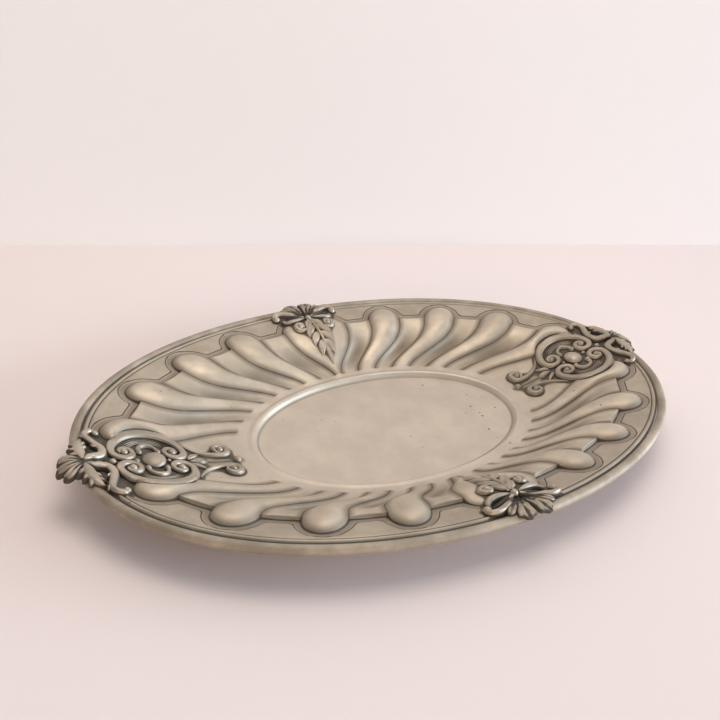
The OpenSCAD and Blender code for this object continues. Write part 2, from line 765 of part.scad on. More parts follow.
tray_body();
rim_bead();
end_crest(false);  // end_crest_left
end_crest(true);  // end_crest_right
end_sprays(false);  // end_sprays_left
end_sprays(true);  // end_sprays_right
cartouche_frame(false);  // cartouche_frame_left
cartouche_frame(true);  // cartouche_frame_right
cartouche_boss(false);  // cartouche_boss_left
cartouche_boss(true);  // cartouche_boss_right
inner_scrolls(false);  // inner_scrolls_left
inner_scrolls(true);  // inner_scrolls_right
end_beads(false);  // end_beads_left
end_beads(true);  // end_beads_right
trefoil(false);  // trefoil_left
trefoil(true);  // trefoil_right
tail_scrolls(false);  // tail_scrolls_left
tail_scrolls(true);  // tail_scrolls_right
side_crest(false);  // side_crest_front
side_crest(true);  // side_crest_back
side_sprays(false);  // side_sprays_front
side_sprays(true);  // side_sprays_back
side_volutes(false);  // side_volutes_front
side_volutes(true);  // side_volutes_back
side_leaf(false);  // side_leaf_front
side_leaf(true);  // side_leaf_back
side_knot(false);  // side_knot_front
side_knot(true);  // side_knot_back
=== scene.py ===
# %% [markdown]
# # An oval pewter tray
# The tray is a shallow dish of grey metal. Its border is a ring of swelling lobes with hollow
# flutes between them, and cast scrolls and leaves are soldered on at the ends and the sides.
# The measured solids of the tray come in first, as a fixed frame. Every piece below is drawn in
# the same place, in metres, and then stands for the solid of its name.

# %% Load the measured frame
import math
from functools import partial

import bpy
import numpy as np
from mathutils import Matrix, Vector


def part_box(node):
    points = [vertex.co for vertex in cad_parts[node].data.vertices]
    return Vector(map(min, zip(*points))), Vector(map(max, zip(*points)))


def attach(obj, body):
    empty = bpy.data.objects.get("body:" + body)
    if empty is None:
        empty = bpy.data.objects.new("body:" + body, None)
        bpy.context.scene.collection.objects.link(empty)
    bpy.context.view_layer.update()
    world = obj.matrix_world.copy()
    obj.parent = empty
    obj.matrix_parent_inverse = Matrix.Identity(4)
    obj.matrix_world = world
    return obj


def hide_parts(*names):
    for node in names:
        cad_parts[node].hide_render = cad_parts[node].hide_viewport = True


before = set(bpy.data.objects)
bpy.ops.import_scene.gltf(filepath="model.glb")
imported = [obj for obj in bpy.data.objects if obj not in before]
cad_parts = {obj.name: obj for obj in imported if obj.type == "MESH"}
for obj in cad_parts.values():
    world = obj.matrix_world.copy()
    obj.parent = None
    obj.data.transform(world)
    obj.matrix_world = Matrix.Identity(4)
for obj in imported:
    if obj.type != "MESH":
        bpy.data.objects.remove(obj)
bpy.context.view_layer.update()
MM = 0.001
print("nodes in the frame:", len(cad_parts))

# %% [markdown]
# ## The oval and its rule
# A tray like this is laid out with a compass and a lobe template. All of its rings are ovals a
# little fuller than an ellipse, from the ridge round the well to the edge. A place on the border
# is a share of the way out, from 0 at the ridge to 1 at the edge, and an angle round the oval.

# %% Sizes of the dish
rim_low, rim_high = (np.array(c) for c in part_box("rim_bead"))
edge_axes = (rim_high - rim_low)[:2] / 2
ridge_axes = np.array((99.5, 64.5)) * MM
oval_fullness = 2.06
wall = 2 * MM
floor_z = wall
ridge_z = 5 * MM
rim_z = 28 * MM
bead_width = 6 * MM
bead_height = rim_high[2] - rim_low[2]
bead_rise = rim_high[2] - rim_z
border_run = edge_axes[0] - ridge_axes[0]
even_inset = 34 * MM
ridge_slope = 0.7
print("edge half axes in mm:", np.round(edge_axes / MM, 1))


# %% Ovals and places on the border
def ease(f):
    c = np.clip(f, 0, 1)
    return c * c * (3 - 2 * c)


def lerp(a, b, f):
    return a + (b - a) * f


def oval(axes, degrees):
    t = np.radians(degrees)
    c, s = np.cos(t), np.sin(t)
    power = 2 / oval_fullness
    axes = np.asarray(axes)
    return np.stack((
        axes[..., 0] * np.sign(c) * np.abs(c) ** power,
        axes[..., 1] * np.sign(s) * np.abs(s) ** power), -1)


def share_of_inset(inset):
    return 1 - inset / border_run


def cross_inset(along):
    """Inset across the tray for one along it: even near the edge, then drawn in to the ridge."""
    run, cross_run = np.array((border_run, edge_axes[1] - ridge_axes[1])) - even_inset
    near = run / cross_run
    far = ridge_slope * near
    t = (along - even_inset) / run
    bent = even_inset + cross_run * t * (near + t * (3 - 2 * near - far + t * (near + far - 2)))
    return np.where(along < even_inset, along, bent)


def border_axes(share):
    along = (1 - np.asarray(share)) * border_run
    return edge_axes - np.stack((along, cross_inset(along)), -1)


print("half axes of the oval halfway out, in mm:", np.round(border_axes(0.5) / MM, 1))

# %% [markdown]
# ## Where the creases run
# Each quarter of the border starts with half of a plain bed under the end ornament. Four lobes
# and four flutes follow, then half of the broad lobe under the side leaf. The creases are spaced
# evenly along the oval at the bulbs and again at the well, so the lobes lean as they run out.

# %% Creases of one quarter
lobes_per_quarter = 4
bulb_inset = 16 * MM
bulb_length = 15 * MM
flute_inset = 32.5 * MM
tip_share = share_of_inset(bulb_inset)
cap_share = share_of_inset(bulb_inset + bulb_length)
flute_share = share_of_inset(flute_inset)
lean_from, lean_to = 0.08, 0.66
bed_out, leaf_out, lobe_part_out = 38 * MM, 52 * MM, 0.54
bed_in, leaf_in, lobe_part_in = 62 * MM, 6 * MM, 0.5


def creases(axes, bed, leaf, lobe_part):
    """Angles of a quarter's creases on one oval, spaced by their distance along it."""
    degrees = np.linspace(0, 90, 361)
    steps = np.linalg.norm(np.diff(oval(axes, degrees), axis=0), axis=1)
    run = np.concatenate(([0], np.cumsum(steps)))
    pitch = (run[-1] - bed / 2 - leaf / 2) / lobes_per_quarter
    edges = [bed / 2 + (i + part) * pitch for i in range(lobes_per_quarter) for part in (0, lobe_part)]
    return np.interp([0, *edges, run[-1] - leaf / 2, run[-1]], run, degrees)


crease_out = creases(border_axes(flute_share), bed_out, leaf_out, lobe_part_out)
crease_in = creases(border_axes(lean_from), bed_in, leaf_in, lobe_part_in)
stretches = len(crease_out) - 1
print("creases at the bulbs, degrees:", np.round(crease_out, 1))

# %% [markdown]
# The end ornament is wider than its bed, so the first crease bulges round the outside of the
# cartouche. A few halvings find the angle at which a ring of the border leaves that oval.

# %% The bed round a cartouche
frame_low, frame_high = (np.array(c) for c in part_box("cartouche_frame_right"))
boss_x = (frame_low[0] + frame_high[0]) / 2
bed_margin = 0.6 * MM
bed_half = (frame_high - frame_low)[:2] / 2 + bed_margin
halvings = 24


def bed_angle(share):
    low, high = 0, crease_out[2]
    for _ in range(halvings):
        middle = (low + high) / 2
        p = oval(border_axes(share), middle)
        inside = math.hypot((p[0] - boss_x) / bed_half[0], p[1] / bed_half[1]) < 1
        low, high = (middle, high) if inside else (low, middle)
    return low


bed_shares = np.linspace(0, 1, 201)
bed_angles = np.array([bed_angle(share) for share in bed_shares])


def crease_angle(k, share):
    angle = lerp(crease_in[k], crease_out[k], ease((share - lean_from) / (lean_to - lean_from)))
    return np.where(k == 1, np.maximum(angle, np.interp(share, bed_shares, bed_angles)), angle)


print("bed half size in mm:", np.round(bed_half / MM, 1))

# %% [markdown]
# ## Grey metal with dark hollows
# Old pewter is a satin grey, a little warm, and the dirt of years stays wherever a polishing cloth
# can't reach. Three node groups make that finish for every piece. The first turns a measure of how
# sheltered a place is into dark tarnish and painted shade. The second gives clouds, pits and fine
# scratches, and the third cuts a thin line at a given distance from an outline.

# %% Helpers for node trees
def feed(tree, socket, value):
    if isinstance(value, bpy.types.NodeSocket):
        tree.links.new(value, socket)
    else:
        socket.default_value = value


def add(tree, kind, inputs=None, **settings):
    """A new node, with its settings made and its inputs filled in or wired up."""
    node = tree.nodes.new(kind)
    for name, value in settings.items():
        setattr(node, name, value)
    for name, value in (inputs or {}).items():
        feed(tree, node.inputs[name], value)
    return node


def shader_math(tree, operation, *values, clamp=False):
    node = add(tree, "ShaderNodeMath", dict(enumerate(values)), operation=operation, use_clamp=clamp)
    return node.outputs[0]


def smooth_range(tree, value, low, high, to_low=0.0, to_high=1.0):
    ends = {"Value": value, "From Min": low, "From Max": high, "To Min": to_low, "To Max": to_high}
    return add(tree, "ShaderNodeMapRange", ends, interpolation_type="SMOOTHSTEP").outputs["Result"]


def noise(tree, place, scale, **more):
    return add(tree, "ShaderNodeTexNoise", {"Vector": place, "Scale": scale, **more}).outputs["Fac"]


def shader_group(name, inputs, outputs):
    tree = bpy.data.node_groups.new(name, "ShaderNodeTree")
    for label, default in inputs.items():
        socket = tree.interface.new_socket(label, in_out="INPUT", socket_type="NodeSocketFloat")
        socket.default_value = default
    for label in outputs:
        tree.interface.new_socket(label, in_out="OUTPUT", socket_type="NodeSocketFloat")
    return tree, add(tree, "NodeGroupInput").outputs, add(tree, "NodeGroupOutput").inputs


# %% Tarnish and painted shade
ragged_scale, ragged_by, mask_run = 160.0, 0.5, 0.6


def make_tarnish_and_shade_group():
    # The mask darkens sheltered places: real tarnish, and painted shade where hollows lie in shadow.
    tree, given, result = shader_group("Tarnish in hollows", {"Shelter": 0.0, "Reach": 0.5}, ("Mask",))
    calc = partial(shader_math, tree)
    place = add(tree, "ShaderNodeTexCoord").outputs["Object"]
    cloud = noise(tree, place, ragged_scale, Detail=4.0)
    ragged = calc("MULTIPLY_ADD", cloud, ragged_by, -ragged_by / 2)
    hidden = calc("ADD", given["Shelter"], ragged)
    low = calc("SUBTRACT", 1.0, given["Reach"])
    feed(tree, result["Mask"], smooth_range(tree, hidden, low, calc("ADD", low, mask_run)))
    return tree


tarnish_and_shade_group = make_tarnish_and_shade_group()
print("shader group:", tarnish_and_shade_group.name)

# %% Surface
cloud_scale, patch_scale, pit_scale, grain_scale = 38.0, 21.0, 130.0, 900.0
pit_chance, patch_range = (0.5, 0.9), (0.56, 0.68)
pit_least, pit_spread, pit_depth = 0.05, 0.15, 2.0
scratch_turn, scratch_stretch = math.radians(24), (120, 2400, 900)
scratch_height, grain_height = 0.25, 0.5


def make_surface_group():
    tree, given, result = shader_group("Satin pewter", {"Pits": 0.5}, ("Cloud", "Pit", "Height"))
    calc = partial(shader_math, tree)
    place = add(tree, "ShaderNodeTexCoord").outputs["Object"]
    feed(tree, result["Cloud"], noise(tree, place, cloud_scale, Detail=6.0, Roughness=0.6))
    spots = add(tree, "ShaderNodeTexVoronoi", {"Vector": place, "Scale": pit_scale},
                feature="F1", voronoi_dimensions="2D").outputs
    chance = add(tree, "ShaderNodeSeparateColor", {"Color": spots["Color"]}).outputs
    chosen = smooth_range(tree, chance["Red"], *pit_chance)
    size = calc("MULTIPLY_ADD", chance["Green"], pit_spread, pit_least)
    near = smooth_range(tree, spots["Distance"], 0.0, size, 1.0, 0.0)
    patch = smooth_range(tree, noise(tree, place, patch_scale, Detail=1.0), *patch_range)
    pit = calc("MULTIPLY", calc("MULTIPLY", near, chosen), given["Pits"])
    pit = calc("MULTIPLY", pit, patch)
    feed(tree, result["Pit"], pit)
    stretched = add(tree, "ShaderNodeMapping", {
        "Vector": place, "Rotation": (0, 0, scratch_turn), "Scale": scratch_stretch}).outputs["Vector"]
    lines = calc("MULTIPLY", noise(tree, stretched, 1.0), scratch_height)
    bumps = calc("MULTIPLY_ADD", noise(tree, place, grain_scale), grain_height, lines)
    feed(tree, result["Height"], calc("SUBTRACT", bumps, calc("MULTIPLY", pit, pit_depth)))
    return tree


surface_group = make_surface_group()
print("shader group:", surface_group.name)


# %% Incised line
def make_line_group():
    tree, given, result = shader_group(
        "Incised line", {"Distance": 0.0, "Place": 4 * MM, "Width": 0.5 * MM}, ("Mask",))
    calc = partial(shader_math, tree)
    off = calc("ABSOLUTE", calc("SUBTRACT", given["Distance"], given["Place"]))
    feed(tree, result["Mask"], smooth_range(tree, off, 0.0, given["Width"], 1.0, 0.0))
    return tree


line_group = make_line_group()
print("shader group:", line_group.name)

# %% [markdown]
# A material reads numbers that its piece carries from point to point. The dish carries the
# distance to its creases and to the outline of the bulbs. The dish and the castings also carry how
# deep each point lies in the relief, so the foot of a casting is dark with tarnish and painted shade,
# and its crown is rubbed bright. The rim has the colours of the castings and a duller surface.

# %% Colours and finish of pewter
well_pewter = (0.65, 0.58, 0.50, 1)
dish_pewter = ((0.47, 0.408, 0.325, 1), (0.62, 0.545, 0.437, 1))
cast_pewter = ((0.33, 0.285, 0.225, 1), (0.50, 0.43, 0.345, 1))
# Brown and near-black are mixed in for tarnish and for painted shade in hollows, creases and flutes.
tarnish_and_shade_brown = (0.24, 0.19, 0.135, 1)
tarnish_and_shade_black = (0.045, 0.038, 0.032, 1)
cloud_range = (0.35, 0.7)
worn_tint, pit_dark, brown_gain = 0.5, 0.85, 1.7
cloud_gloss, soot_and_shade_roughness = -0.16, 0.25
clean_metal, soot_and_shade_metal = 0.7, -0.5
bump_strength, bump_distance, cut_height = 0.35, 0.12 * MM, -4.0


def place_group(tree, group, **values):
    return add(tree, "ShaderNodeGroup", values, node_tree=group).outputs


def carried(tree, name):
    return add(tree, "ShaderNodeAttribute", attribute_name=name).outputs["Fac"]


def mix_colours(tree, factor, a, b):
    return add(tree, "ShaderNodeMix", {0: factor, 6: a, 7: b}, data_type="RGBA").outputs[2]


def pewter_material(name, colours, pits, tarnish_and_shade_of, roughness):
    material = bpy.data.materials.new(name)
    material.use_nodes = True
    tree = material.node_tree
    calc, mix = partial(shader_math, tree), partial(mix_colours, tree)
    surface = place_group(tree, surface_group, Pits=pits)
    dark, cut = tarnish_and_shade_of(tree)
    # Tarnish and painted shade, together with the dark of the pits.
    soot_and_shade = calc("MAXIMUM", dark, calc("MULTIPLY", surface["Pit"], pit_dark))
    clouded = mix(smooth_range(tree, surface["Cloud"], *cloud_range), *colours)
    clouded = mix(calc("MULTIPLY", carried(tree, "worn"), worn_tint), clouded, well_pewter)
    browned = mix(calc("MULTIPLY", soot_and_shade, brown_gain, clamp=True), clouded, tarnish_and_shade_brown)
    rough = calc("MULTIPLY_ADD", surface["Cloud"], cloud_gloss, roughness)
    bump = add(tree, "ShaderNodeBump", {
        "Strength": bump_strength, "Distance": bump_distance,
        "Height": calc("MULTIPLY_ADD", cut, cut_height, surface["Height"])})
    finish = {"Base Color": mix(calc("MULTIPLY", soot_and_shade, soot_and_shade), browned, tarnish_and_shade_black),
              "Roughness": calc("MULTIPLY_ADD", soot_and_shade, soot_and_shade_roughness, rough),
              "Metallic": calc("MULTIPLY_ADD", soot_and_shade, soot_and_shade_metal, clean_metal),
              "Normal": bump.outputs["Normal"]}
    for label, value in finish.items():
        feed(tree, tree.nodes["Principled BSDF"].inputs[label], value)
    return material


# %% Where the tarnish and painted shade lie
line_place, line_width = 4.2 * MM, 0.7 * MM
# Dark creases, dark bulb feet, the soft veil beside creases, the dark channel and the dark flutes are
# tarnish and painted shade together.
crease_dark, foot_dark = 1.2 * MM, 1.4 * MM
crease_shade_reach, crease_shade_strength, channel_shade_strength = 5.5 * MM, 0.46, 0.36
channel_from, channel_to = line_place * 0.6, line_place * 1.3
band_strength, flute_shade_strength = 0.22, 0.46
clean_above, dark_below = -0.1 * MM, 1.5 * MM
dish_reach, dish_darkest = 0.72, 0.82
cast_reach, cast_darkest, cast_cut = 0.75, 0.92, 0.2


def hollow_shelter(tree):
    return smooth_range(tree, carried(tree, "hollow"), clean_above, dark_below)


def dish_tarnish_and_shade(tree):
    calc = partial(shader_math, tree)
    crease, edge, lined = (carried(tree, name) for name in ("crease", "edge", "lined"))
    line = place_group(tree, line_group, Distance=edge, Place=line_place, Width=line_width)
    line = calc("MULTIPLY", line["Mask"], lined)
    foot = calc("MULTIPLY", smooth_range(tree, edge, 0.0, foot_dark, 1.0, 0.0), lined)
    # Dark lines in the creases and at the foot of the bulbs: tarnish and painted shade.
    shelter = calc("MAXIMUM", smooth_range(tree, crease, 0.0, crease_dark, 1.0, 0.0), foot)
    shelter = calc("MAXIMUM", shelter, hollow_shelter(tree))
    dark = place_group(tree, tarnish_and_shade_group, Shelter=shelter, Reach=dish_reach)["Mask"]
    dark = calc("MULTIPLY", dark, dish_darkest)
    # Painted shade: a soft darkening beside the creases, in the channel round the bulbs and in the flutes,
    # with a plain darker tone on the band.
    veil = smooth_range(tree, crease, 0.0, crease_shade_reach, crease_shade_strength, 0.0)
    channel = smooth_range(tree, edge, channel_from, channel_to, channel_shade_strength, 0.0)
    channel = calc("MULTIPLY", calc("MAXIMUM", channel, band_strength), lined)
    sunk = calc("MULTIPLY", carried(tree, "sunk"), flute_shade_strength)
    veil = calc("MAXIMUM", veil, calc("MAXIMUM", channel, sunk))
    return calc("MAXIMUM", calc("MAXIMUM", dark, veil), line), line


def casting_tarnish_and_shade(tree):
    # Castings darken below the blurred relief: tarnish and painted shade in their hollows.
    dark = place_group(tree, tarnish_and_shade_group, Shelter=hollow_shelter(tree), Reach=cast_reach)["Mask"]
    return tuple(shader_math(tree, "MULTIPLY", dark, by) for by in (cast_darkest, cast_cut))


# %% Three pewters
satin_roughness, rim_roughness = 0.58, 0.8
many_pits, few_pits = 1.0, 0.3
dish_metal = pewter_material("satin_pewter", dish_pewter, many_pits, dish_tarnish_and_shade, satin_roughness)
cast_metal = pewter_material("cast_pewter", cast_pewter, few_pits, casting_tarnish_and_shade, satin_roughness)
rim_metal = pewter_material("rim_pewter", cast_pewter, few_pits, casting_tarnish_and_shade, rim_roughness)
print("materials:", dish_metal.name, cast_metal.name, rim_metal.name)

# %% [markdown]
# ## The dish as a plain grid
# The dish is one sheet of metal, cast and then worked from behind. Python lays a grid of rings and
# columns with a column on every crease, so each crease stays sharp. Each point carries its share of
# the border, its place across its lobe or flute, and how much of a lobe or a flute it is.

# %% Columns round the oval
bed_columns, lobe_columns, flute_columns, leaf_columns = 22, 14, 8, 16


def parts_of(k):
    """Where the columns of a stretch lie in it, closer together beside a crease."""
    if k == 0:
        return np.arange(bed_columns) / bed_columns
    if k == stretches - 1:
        return 1 - np.cos(np.arange(leaf_columns + 1) / leaf_columns * math.pi / 2)
    if k % 2:
        return (1 - np.cos(np.arange(lobe_columns) / lobe_columns * math.pi)) / 2
    return np.arange(flute_columns) / flute_columns


stretch = np.concatenate([np.full(len(parts_of(k)), k) for k in range(stretches)])
part = np.concatenate([parts_of(k) for k in range(stretches)])
is_leaf = stretch == stretches - 1
is_bed = stretch == 0
is_lobe = (stretch % 2 == 1) | is_leaf
is_flute = ~is_lobe & ~is_bed
across = np.where(is_leaf, part - 1, 2 * part - 1)
roundness = np.sqrt(np.maximum(0, 1 - across ** 2))


def all_round(values):
    """A quarter's values, mirrored into four quarters."""
    half = np.concatenate((values[:-1], values[:0:-1]))
    return np.concatenate((half, half))


def ring(axes, share):
    """Points all round an oval, with a column on every crease."""
    angles = lerp(crease_angle(stretch, share), crease_angle(stretch + 1, share), part)
    first = oval(axes, angles)
    half = np.concatenate((first[:-1], (first * (-1, 1))[:0:-1]))
    return np.concatenate((half, -half))


column_count = len(all_round(part))
print("columns:", column_count)

# %% [markdown]
# Between the well and the bulbs each row has its own share. From there on the rows bend: one row
# follows the foot of the bulbs and of the flute ends exactly, so that foot comes out clean.

# %% How rows are laid
foot_least = 0.06
drop_share = 0.022
lip_dip = cap_share - flute_share
lip_share = np.where(is_flute, flute_share + lip_dip * across ** 2, cap_share)
foot_corner = lerp(cap_share, tip_share, foot_least)
flute_foot = lerp(flute_share + drop_share, foot_corner, across ** 2)
bulb_foot = lerp(cap_share, tip_share, np.maximum(roundness, foot_least))
foot_share = np.where(is_flute, flute_foot, np.where(is_lobe, bulb_foot, foot_corner))
band_inset = 13.2 * MM
band_share = share_of_inset(band_inset)
has_lip = is_flute | (is_lobe & ((stretch > 1) | (across > 0)))
rows = []


def ground(share):
    return lerp(ridge_z, rim_z, ease(share))


def add_row(axes, share, z, lobe=0.0, flute=0.0, lip=0.0, lined=0.0, dark=None):
    share = np.broadcast_to(share, part.shape)
    rows.append((ring(axes, share), share, np.broadcast_to(z, part.shape), lobe, flute, lip, lined, dark))


def border_row(share, **weights):
    add_row(border_axes(share), share, ground(share), **weights)


# %% Rows of the well, the lobes and the band
well_rings = (0.03, 0.25, 0.5, 0.75, 0.93)
cove_width, cove_rows, cove_dark = 6 * MM, 15, 0.8
crown_lift, shoulder_lift, shoulder_run = 0.7 * MM, 0.5 * MM, 0.8 * MM
for f in well_rings:
    add_row((ridge_axes - cove_width) * f, 0, floor_z)
# cove_dark paints shade and tarnish along the foot of the cove round the well.
for f in np.linspace(0, 1, cove_rows)[:-1]:
    add_row(ridge_axes - cove_width * (1 - f), 0, lerp(floor_z, ridge_z + crown_lift, ease(ease(f))),
            dark=cove_dark * (1 - abs(4 * f - 1)) * (f < 0.5))
add_row(ridge_axes + shoulder_run, 0, ridge_z + shoulder_lift)
tail_rows, bulb_rows, band_rows = 56, 13, 16
first_share, lip_from = 0.022, 0.6
for f in np.linspace(0, 1, tail_rows):
    border_row(lerp(first_share, lip_share, f), lobe=1, flute=1, lip=ease((f - lip_from) / (1 - lip_from)))
for f in np.sin(np.linspace(0, math.pi / 2, bulb_rows))[1:]:
    border_row(lerp(lip_share, foot_share, f), lobe=1, flute=0, lip=1 - f,
               lined=np.where(is_flute, f, f ** 6))
for f in np.linspace(0, 1, band_rows)[1:-1]:
    border_row(lerp(foot_share, band_share, f), lined=1)
print("rows from the well to the band:", len(rows))

# %% Rows of the moulding and the underside
# Each row of the moulding: inset from the edge, height above the rim's face and how dark the row is
solder_film = 0.3 * MM
edge_inset = bead_width + solder_film
moulding = (
    (12.4, -0.35, 0), (11.2, -0.25, 0), (10.7, -0.25, 0.3), (10.3, -0.5, 1), (9.8, -0.5, 1),
    (9.4, 0, 0.3), (9.0, 0.35, 0), (8.5, 0.45, 0), (8.0, 0.35, 0), (7.6, -0.1, 0.5),
    (7.2, -0.7, 1), (6.8, -0.9, 1), (edge_inset / MM, -0.9, 1))
for inset, lift, dark in moulding:
    add_row(edge_axes - inset * MM, 1, rim_z + lift * MM, lined=1, dark=dark)
face_rows = len(rows)
under_rows, lobe_hollow = 30, 0.55
add_row(edge_axes - edge_inset, 1, rim_z - wall)
for share in np.linspace(tip_share, 0, under_rows):
    add_row(border_axes(share), share, ground(share) - wall, lobe=lobe_hollow, flute=1)
add_row(ridge_axes - cove_width, 0, 0)
print("rows:", len(rows), "of which on the face:", face_rows)


# %% Helpers for meshes
def new_object(name, mesh):
    piece = bpy.data.objects.new(name, mesh)
    bpy.context.scene.collection.objects.link(piece)
    return piece


def store(mesh, name, values):
    layer = mesh.attributes.new(name, "FLOAT", "POINT")
    layer.data.foreach_set("value", np.asarray(values, dtype=np.float32).ravel())


def tube_faces(rings):
    """Quads between neighbouring rings of a grid that closes on itself."""
    grid = np.arange(rings * column_count).reshape(rings, column_count)
    ahead = np.roll(grid, -1, axis=1)
    return grid, ahead, np.stack((grid[:-1], grid[1:], ahead[1:], ahead[:-1]), -1).reshape(-1, 4)


# %% What each point of the dish carries
far_off = 20 * MM
crease_from, crease_run = 0.03, 0.07
worn_to, deep_share, step_dark = 0.2, 0.45, 3.4


def crease_gap(share, dark):
    """Distance to the nearest crease, or the one that gives a row a darkness of its own."""
    if dark is not None:
        return (1 - dark) * crease_shade_reach * np.ones_like(part)
    width = np.linalg.norm(oval(border_axes(share), crease_angle(stretch + 1, share))
                           - oval(border_axes(share), crease_angle(stretch, share)), axis=-1)
    width = np.where(is_leaf, 2 * width, width)
    cap = np.maximum(0, (share - cap_share) / (tip_share - cap_share)) * is_lobe
    gap = (1 - np.minimum(1, np.hypot(across, cap))) * width / 2
    fade = ease((share - crease_from) / crease_run) * (share <= np.maximum(lip_share, foot_share))
    return gap + (1 - fade) * far_off


def measures(share, lobe, flute, lip, lined, dark):
    """What each point of a row carries."""
    # sunk paints shade in the flutes, deepest halfway out, and on the step faces at their ends.
    hollow = flute * (1 - across ** 2) * ease(share / deep_share) * (1 - lip)
    step = (1 - flute) * step_dark * lip * (1 - lip)
    return {
        "share": share, "worn": 1 - ease(share / worn_to), "across": across, "lobe": is_lobe * lobe,
        "bulb": (is_lobe & ~is_leaf) * 1.0, "flute": is_flute * flute, "lip": has_lip * lip,
        "sunk": is_flute * (hollow + step), "lined": ~is_bed * lined, "crease": crease_gap(share, dark)}


# %% The grid as a mesh
def dish_grid():
    layers, points = {}, []
    for xy, share, z, *weights in rows:
        points.append(np.column_stack((xy, all_round(z))))
        for name, values in measures(share, *weights).items():
            layers.setdefault(name, []).append(all_round(values))
    grid, ahead, quads = tube_faces(len(rows))
    top, bottom = grid.size, grid.size + 1
    fans = [(top, a, b) for a, b in zip(grid[0], ahead[0])]
    fans += [(bottom, b, a) for a, b in zip(grid[-1], ahead[-1])]
    vertices = np.vstack((*points, (0, 0, floor_z), (0, 0, 0)))
    mesh = bpy.data.meshes.new("dish")
    mesh.from_pydata(vertices.tolist(), [], quads.tolist() + fans)
    for name, values in layers.items():
        pole = {"crease": far_off, "worn": 1}.get(name, 0)
        store(mesh, name, np.concatenate((*values, (pole, pole))))
    return mesh


dish = new_object("dish", dish_grid())
print("dish grid faces:", len(dish.data.polygons))

# %% [markdown]
# The outline of the bulbs and the ends of the flutes is one scalloped line round the border. It is
# drawn flat as a chain of edges. The dish can then measure how far each of its points lies from it.

# %% The scalloped outline
def outline_of_quarter():
    points = []
    for k in range(1, stretches):
        leaf = k == stretches - 1
        for turn in np.radians(np.linspace(-90, 0 if leaf else 90, 25 if leaf else 49)):
            u = math.sin(turn)
            if leaf or k % 2:
                share = lerp(cap_share, tip_share, max(math.cos(turn), foot_least))
            else:
                share = lerp(flute_share + drop_share, foot_corner, u * u)
            f = 1 + u if leaf else (1 + u) / 2
            angle = lerp(crease_angle(k, share), crease_angle(k + 1, share), f)
            points.append(oval(border_axes(share), angle))
    return np.array(points)


def chain_mesh(name, chains):
    points = np.vstack(chains)
    edges, start = [], 0
    for chain in chains:
        edges += [(start + i, start + i + 1) for i in range(len(chain) - 1)]
        start += len(chain)
    mesh = bpy.data.meshes.new(name)
    mesh.from_pydata(points.tolist(), edges, [])
    return mesh


one = outline_of_quarter()
flips = [np.array((a, b)) for a in (1, -1) for b in (1, -1)]
outline_chains = [np.column_stack((one * f, np.zeros(len(one)))) for f in flips]
outline = new_object("outline", chain_mesh("outline", outline_chains))
print("outline points:", len(outline.data.vertices))

# %% [markdown]
# ## Lobes and flutes with Geometry Nodes
# A lobe is a dome across and swells along its length to a round bulb. A flute is a hollow that is
# deepest halfway out, rises to a lip and ends there at a step. One tree lifts every lobe and sinks
# every flute by that rule, so a change of one number changes them all. It also sinks a channel
# round the bulbs.

# %% Helpers for Geometry Nodes
SOCKETS = {
    float: "NodeSocketFloat",
    bpy.types.Object: "NodeSocketObject",
    bpy.types.Material: "NodeSocketMaterial"}


def geometry_tree(name, inputs):
    tree = bpy.data.node_groups.new(name, "GeometryNodeTree")
    tree.interface.new_socket("Geometry", in_out="INPUT", socket_type="NodeSocketGeometry")
    for label, kind in inputs.items():
        tree.interface.new_socket(label, in_out="INPUT", socket_type=SOCKETS[kind])
    tree.interface.new_socket("Geometry", in_out="OUTPUT", socket_type="NodeSocketGeometry")
    return tree, add(tree, "NodeGroupInput").outputs, add(tree, "NodeGroupOutput").inputs


def named(tree, name, kind="FLOAT"):
    node = add(tree, "GeometryNodeInputNamedAttribute", {"Name": name}, data_type=kind)
    return node.outputs["Attribute"]


def here(tree):
    return add(tree, "GeometryNodeInputPosition").outputs[0]


def shape_of(tree, thing):
    return add(tree, "GeometryNodeObjectInfo", {"Object": thing}).outputs["Geometry"]


def passed(tree, kind, geometry, inputs=None, **settings):
    """The geometry behind a node that takes one in and gives one out."""
    return add(tree, kind, {"Geometry": geometry, **(inputs or {})}, **settings).outputs["Geometry"]


def keep_as(tree, geometry, name, value, kind="FLOAT"):
    return passed(tree, "GeometryNodeStoreNamedAttribute", geometry, {"Name": name, "Value": value},
                  data_type=kind, domain="POINT")


def combine(tree, x, y, z):
    return add(tree, "ShaderNodeCombineXYZ", {"X": x, "Y": y, "Z": z}).outputs[0]


def separate(tree, vector):
    return add(tree, "ShaderNodeSeparateXYZ", {0: vector}).outputs


# %% Finish a tree and bake its mesh
def finish_tree(tree, geometry, material, result, sharp_degrees):
    realised = passed(tree, "GeometryNodeRealizeInstances", geometry)
    bend = add(tree, "GeometryNodeInputMeshEdgeAngle").outputs["Unsigned Angle"]
    soft = add(tree, "FunctionNodeCompare", {"A": bend, "B": math.radians(sharp_degrees)},
               data_type="FLOAT", operation="LESS_THAN").outputs["Result"]
    shaded = passed(tree, "GeometryNodeSetShadeSmooth", realised, domain="FACE")
    shaded = passed(tree, "GeometryNodeSetShadeSmooth", shaded, {"Shade Smooth": soft}, domain="EDGE")
    painted = passed(tree, "GeometryNodeSetMaterial", shaded, {"Material": material})
    feed(tree, result["Geometry"], painted)


def run_tree(piece, tree, **values):
    modifier = piece.modifiers.new(tree.name, "NODES")
    modifier.node_group = tree
    for item in tree.interface.items_tree:
        if item.in_out == "INPUT" and item.name in values:
            modifier[item.identifier] = values[item.name]
    graph = bpy.context.evaluated_depsgraph_get()
    baked = bpy.data.meshes.new_from_object(
        piece.evaluated_get(graph), preserve_all_data_layers=True, depsgraph=graph)
    piece.modifiers.clear()
    piece.data = baked
    baked.name = piece.name
    return piece


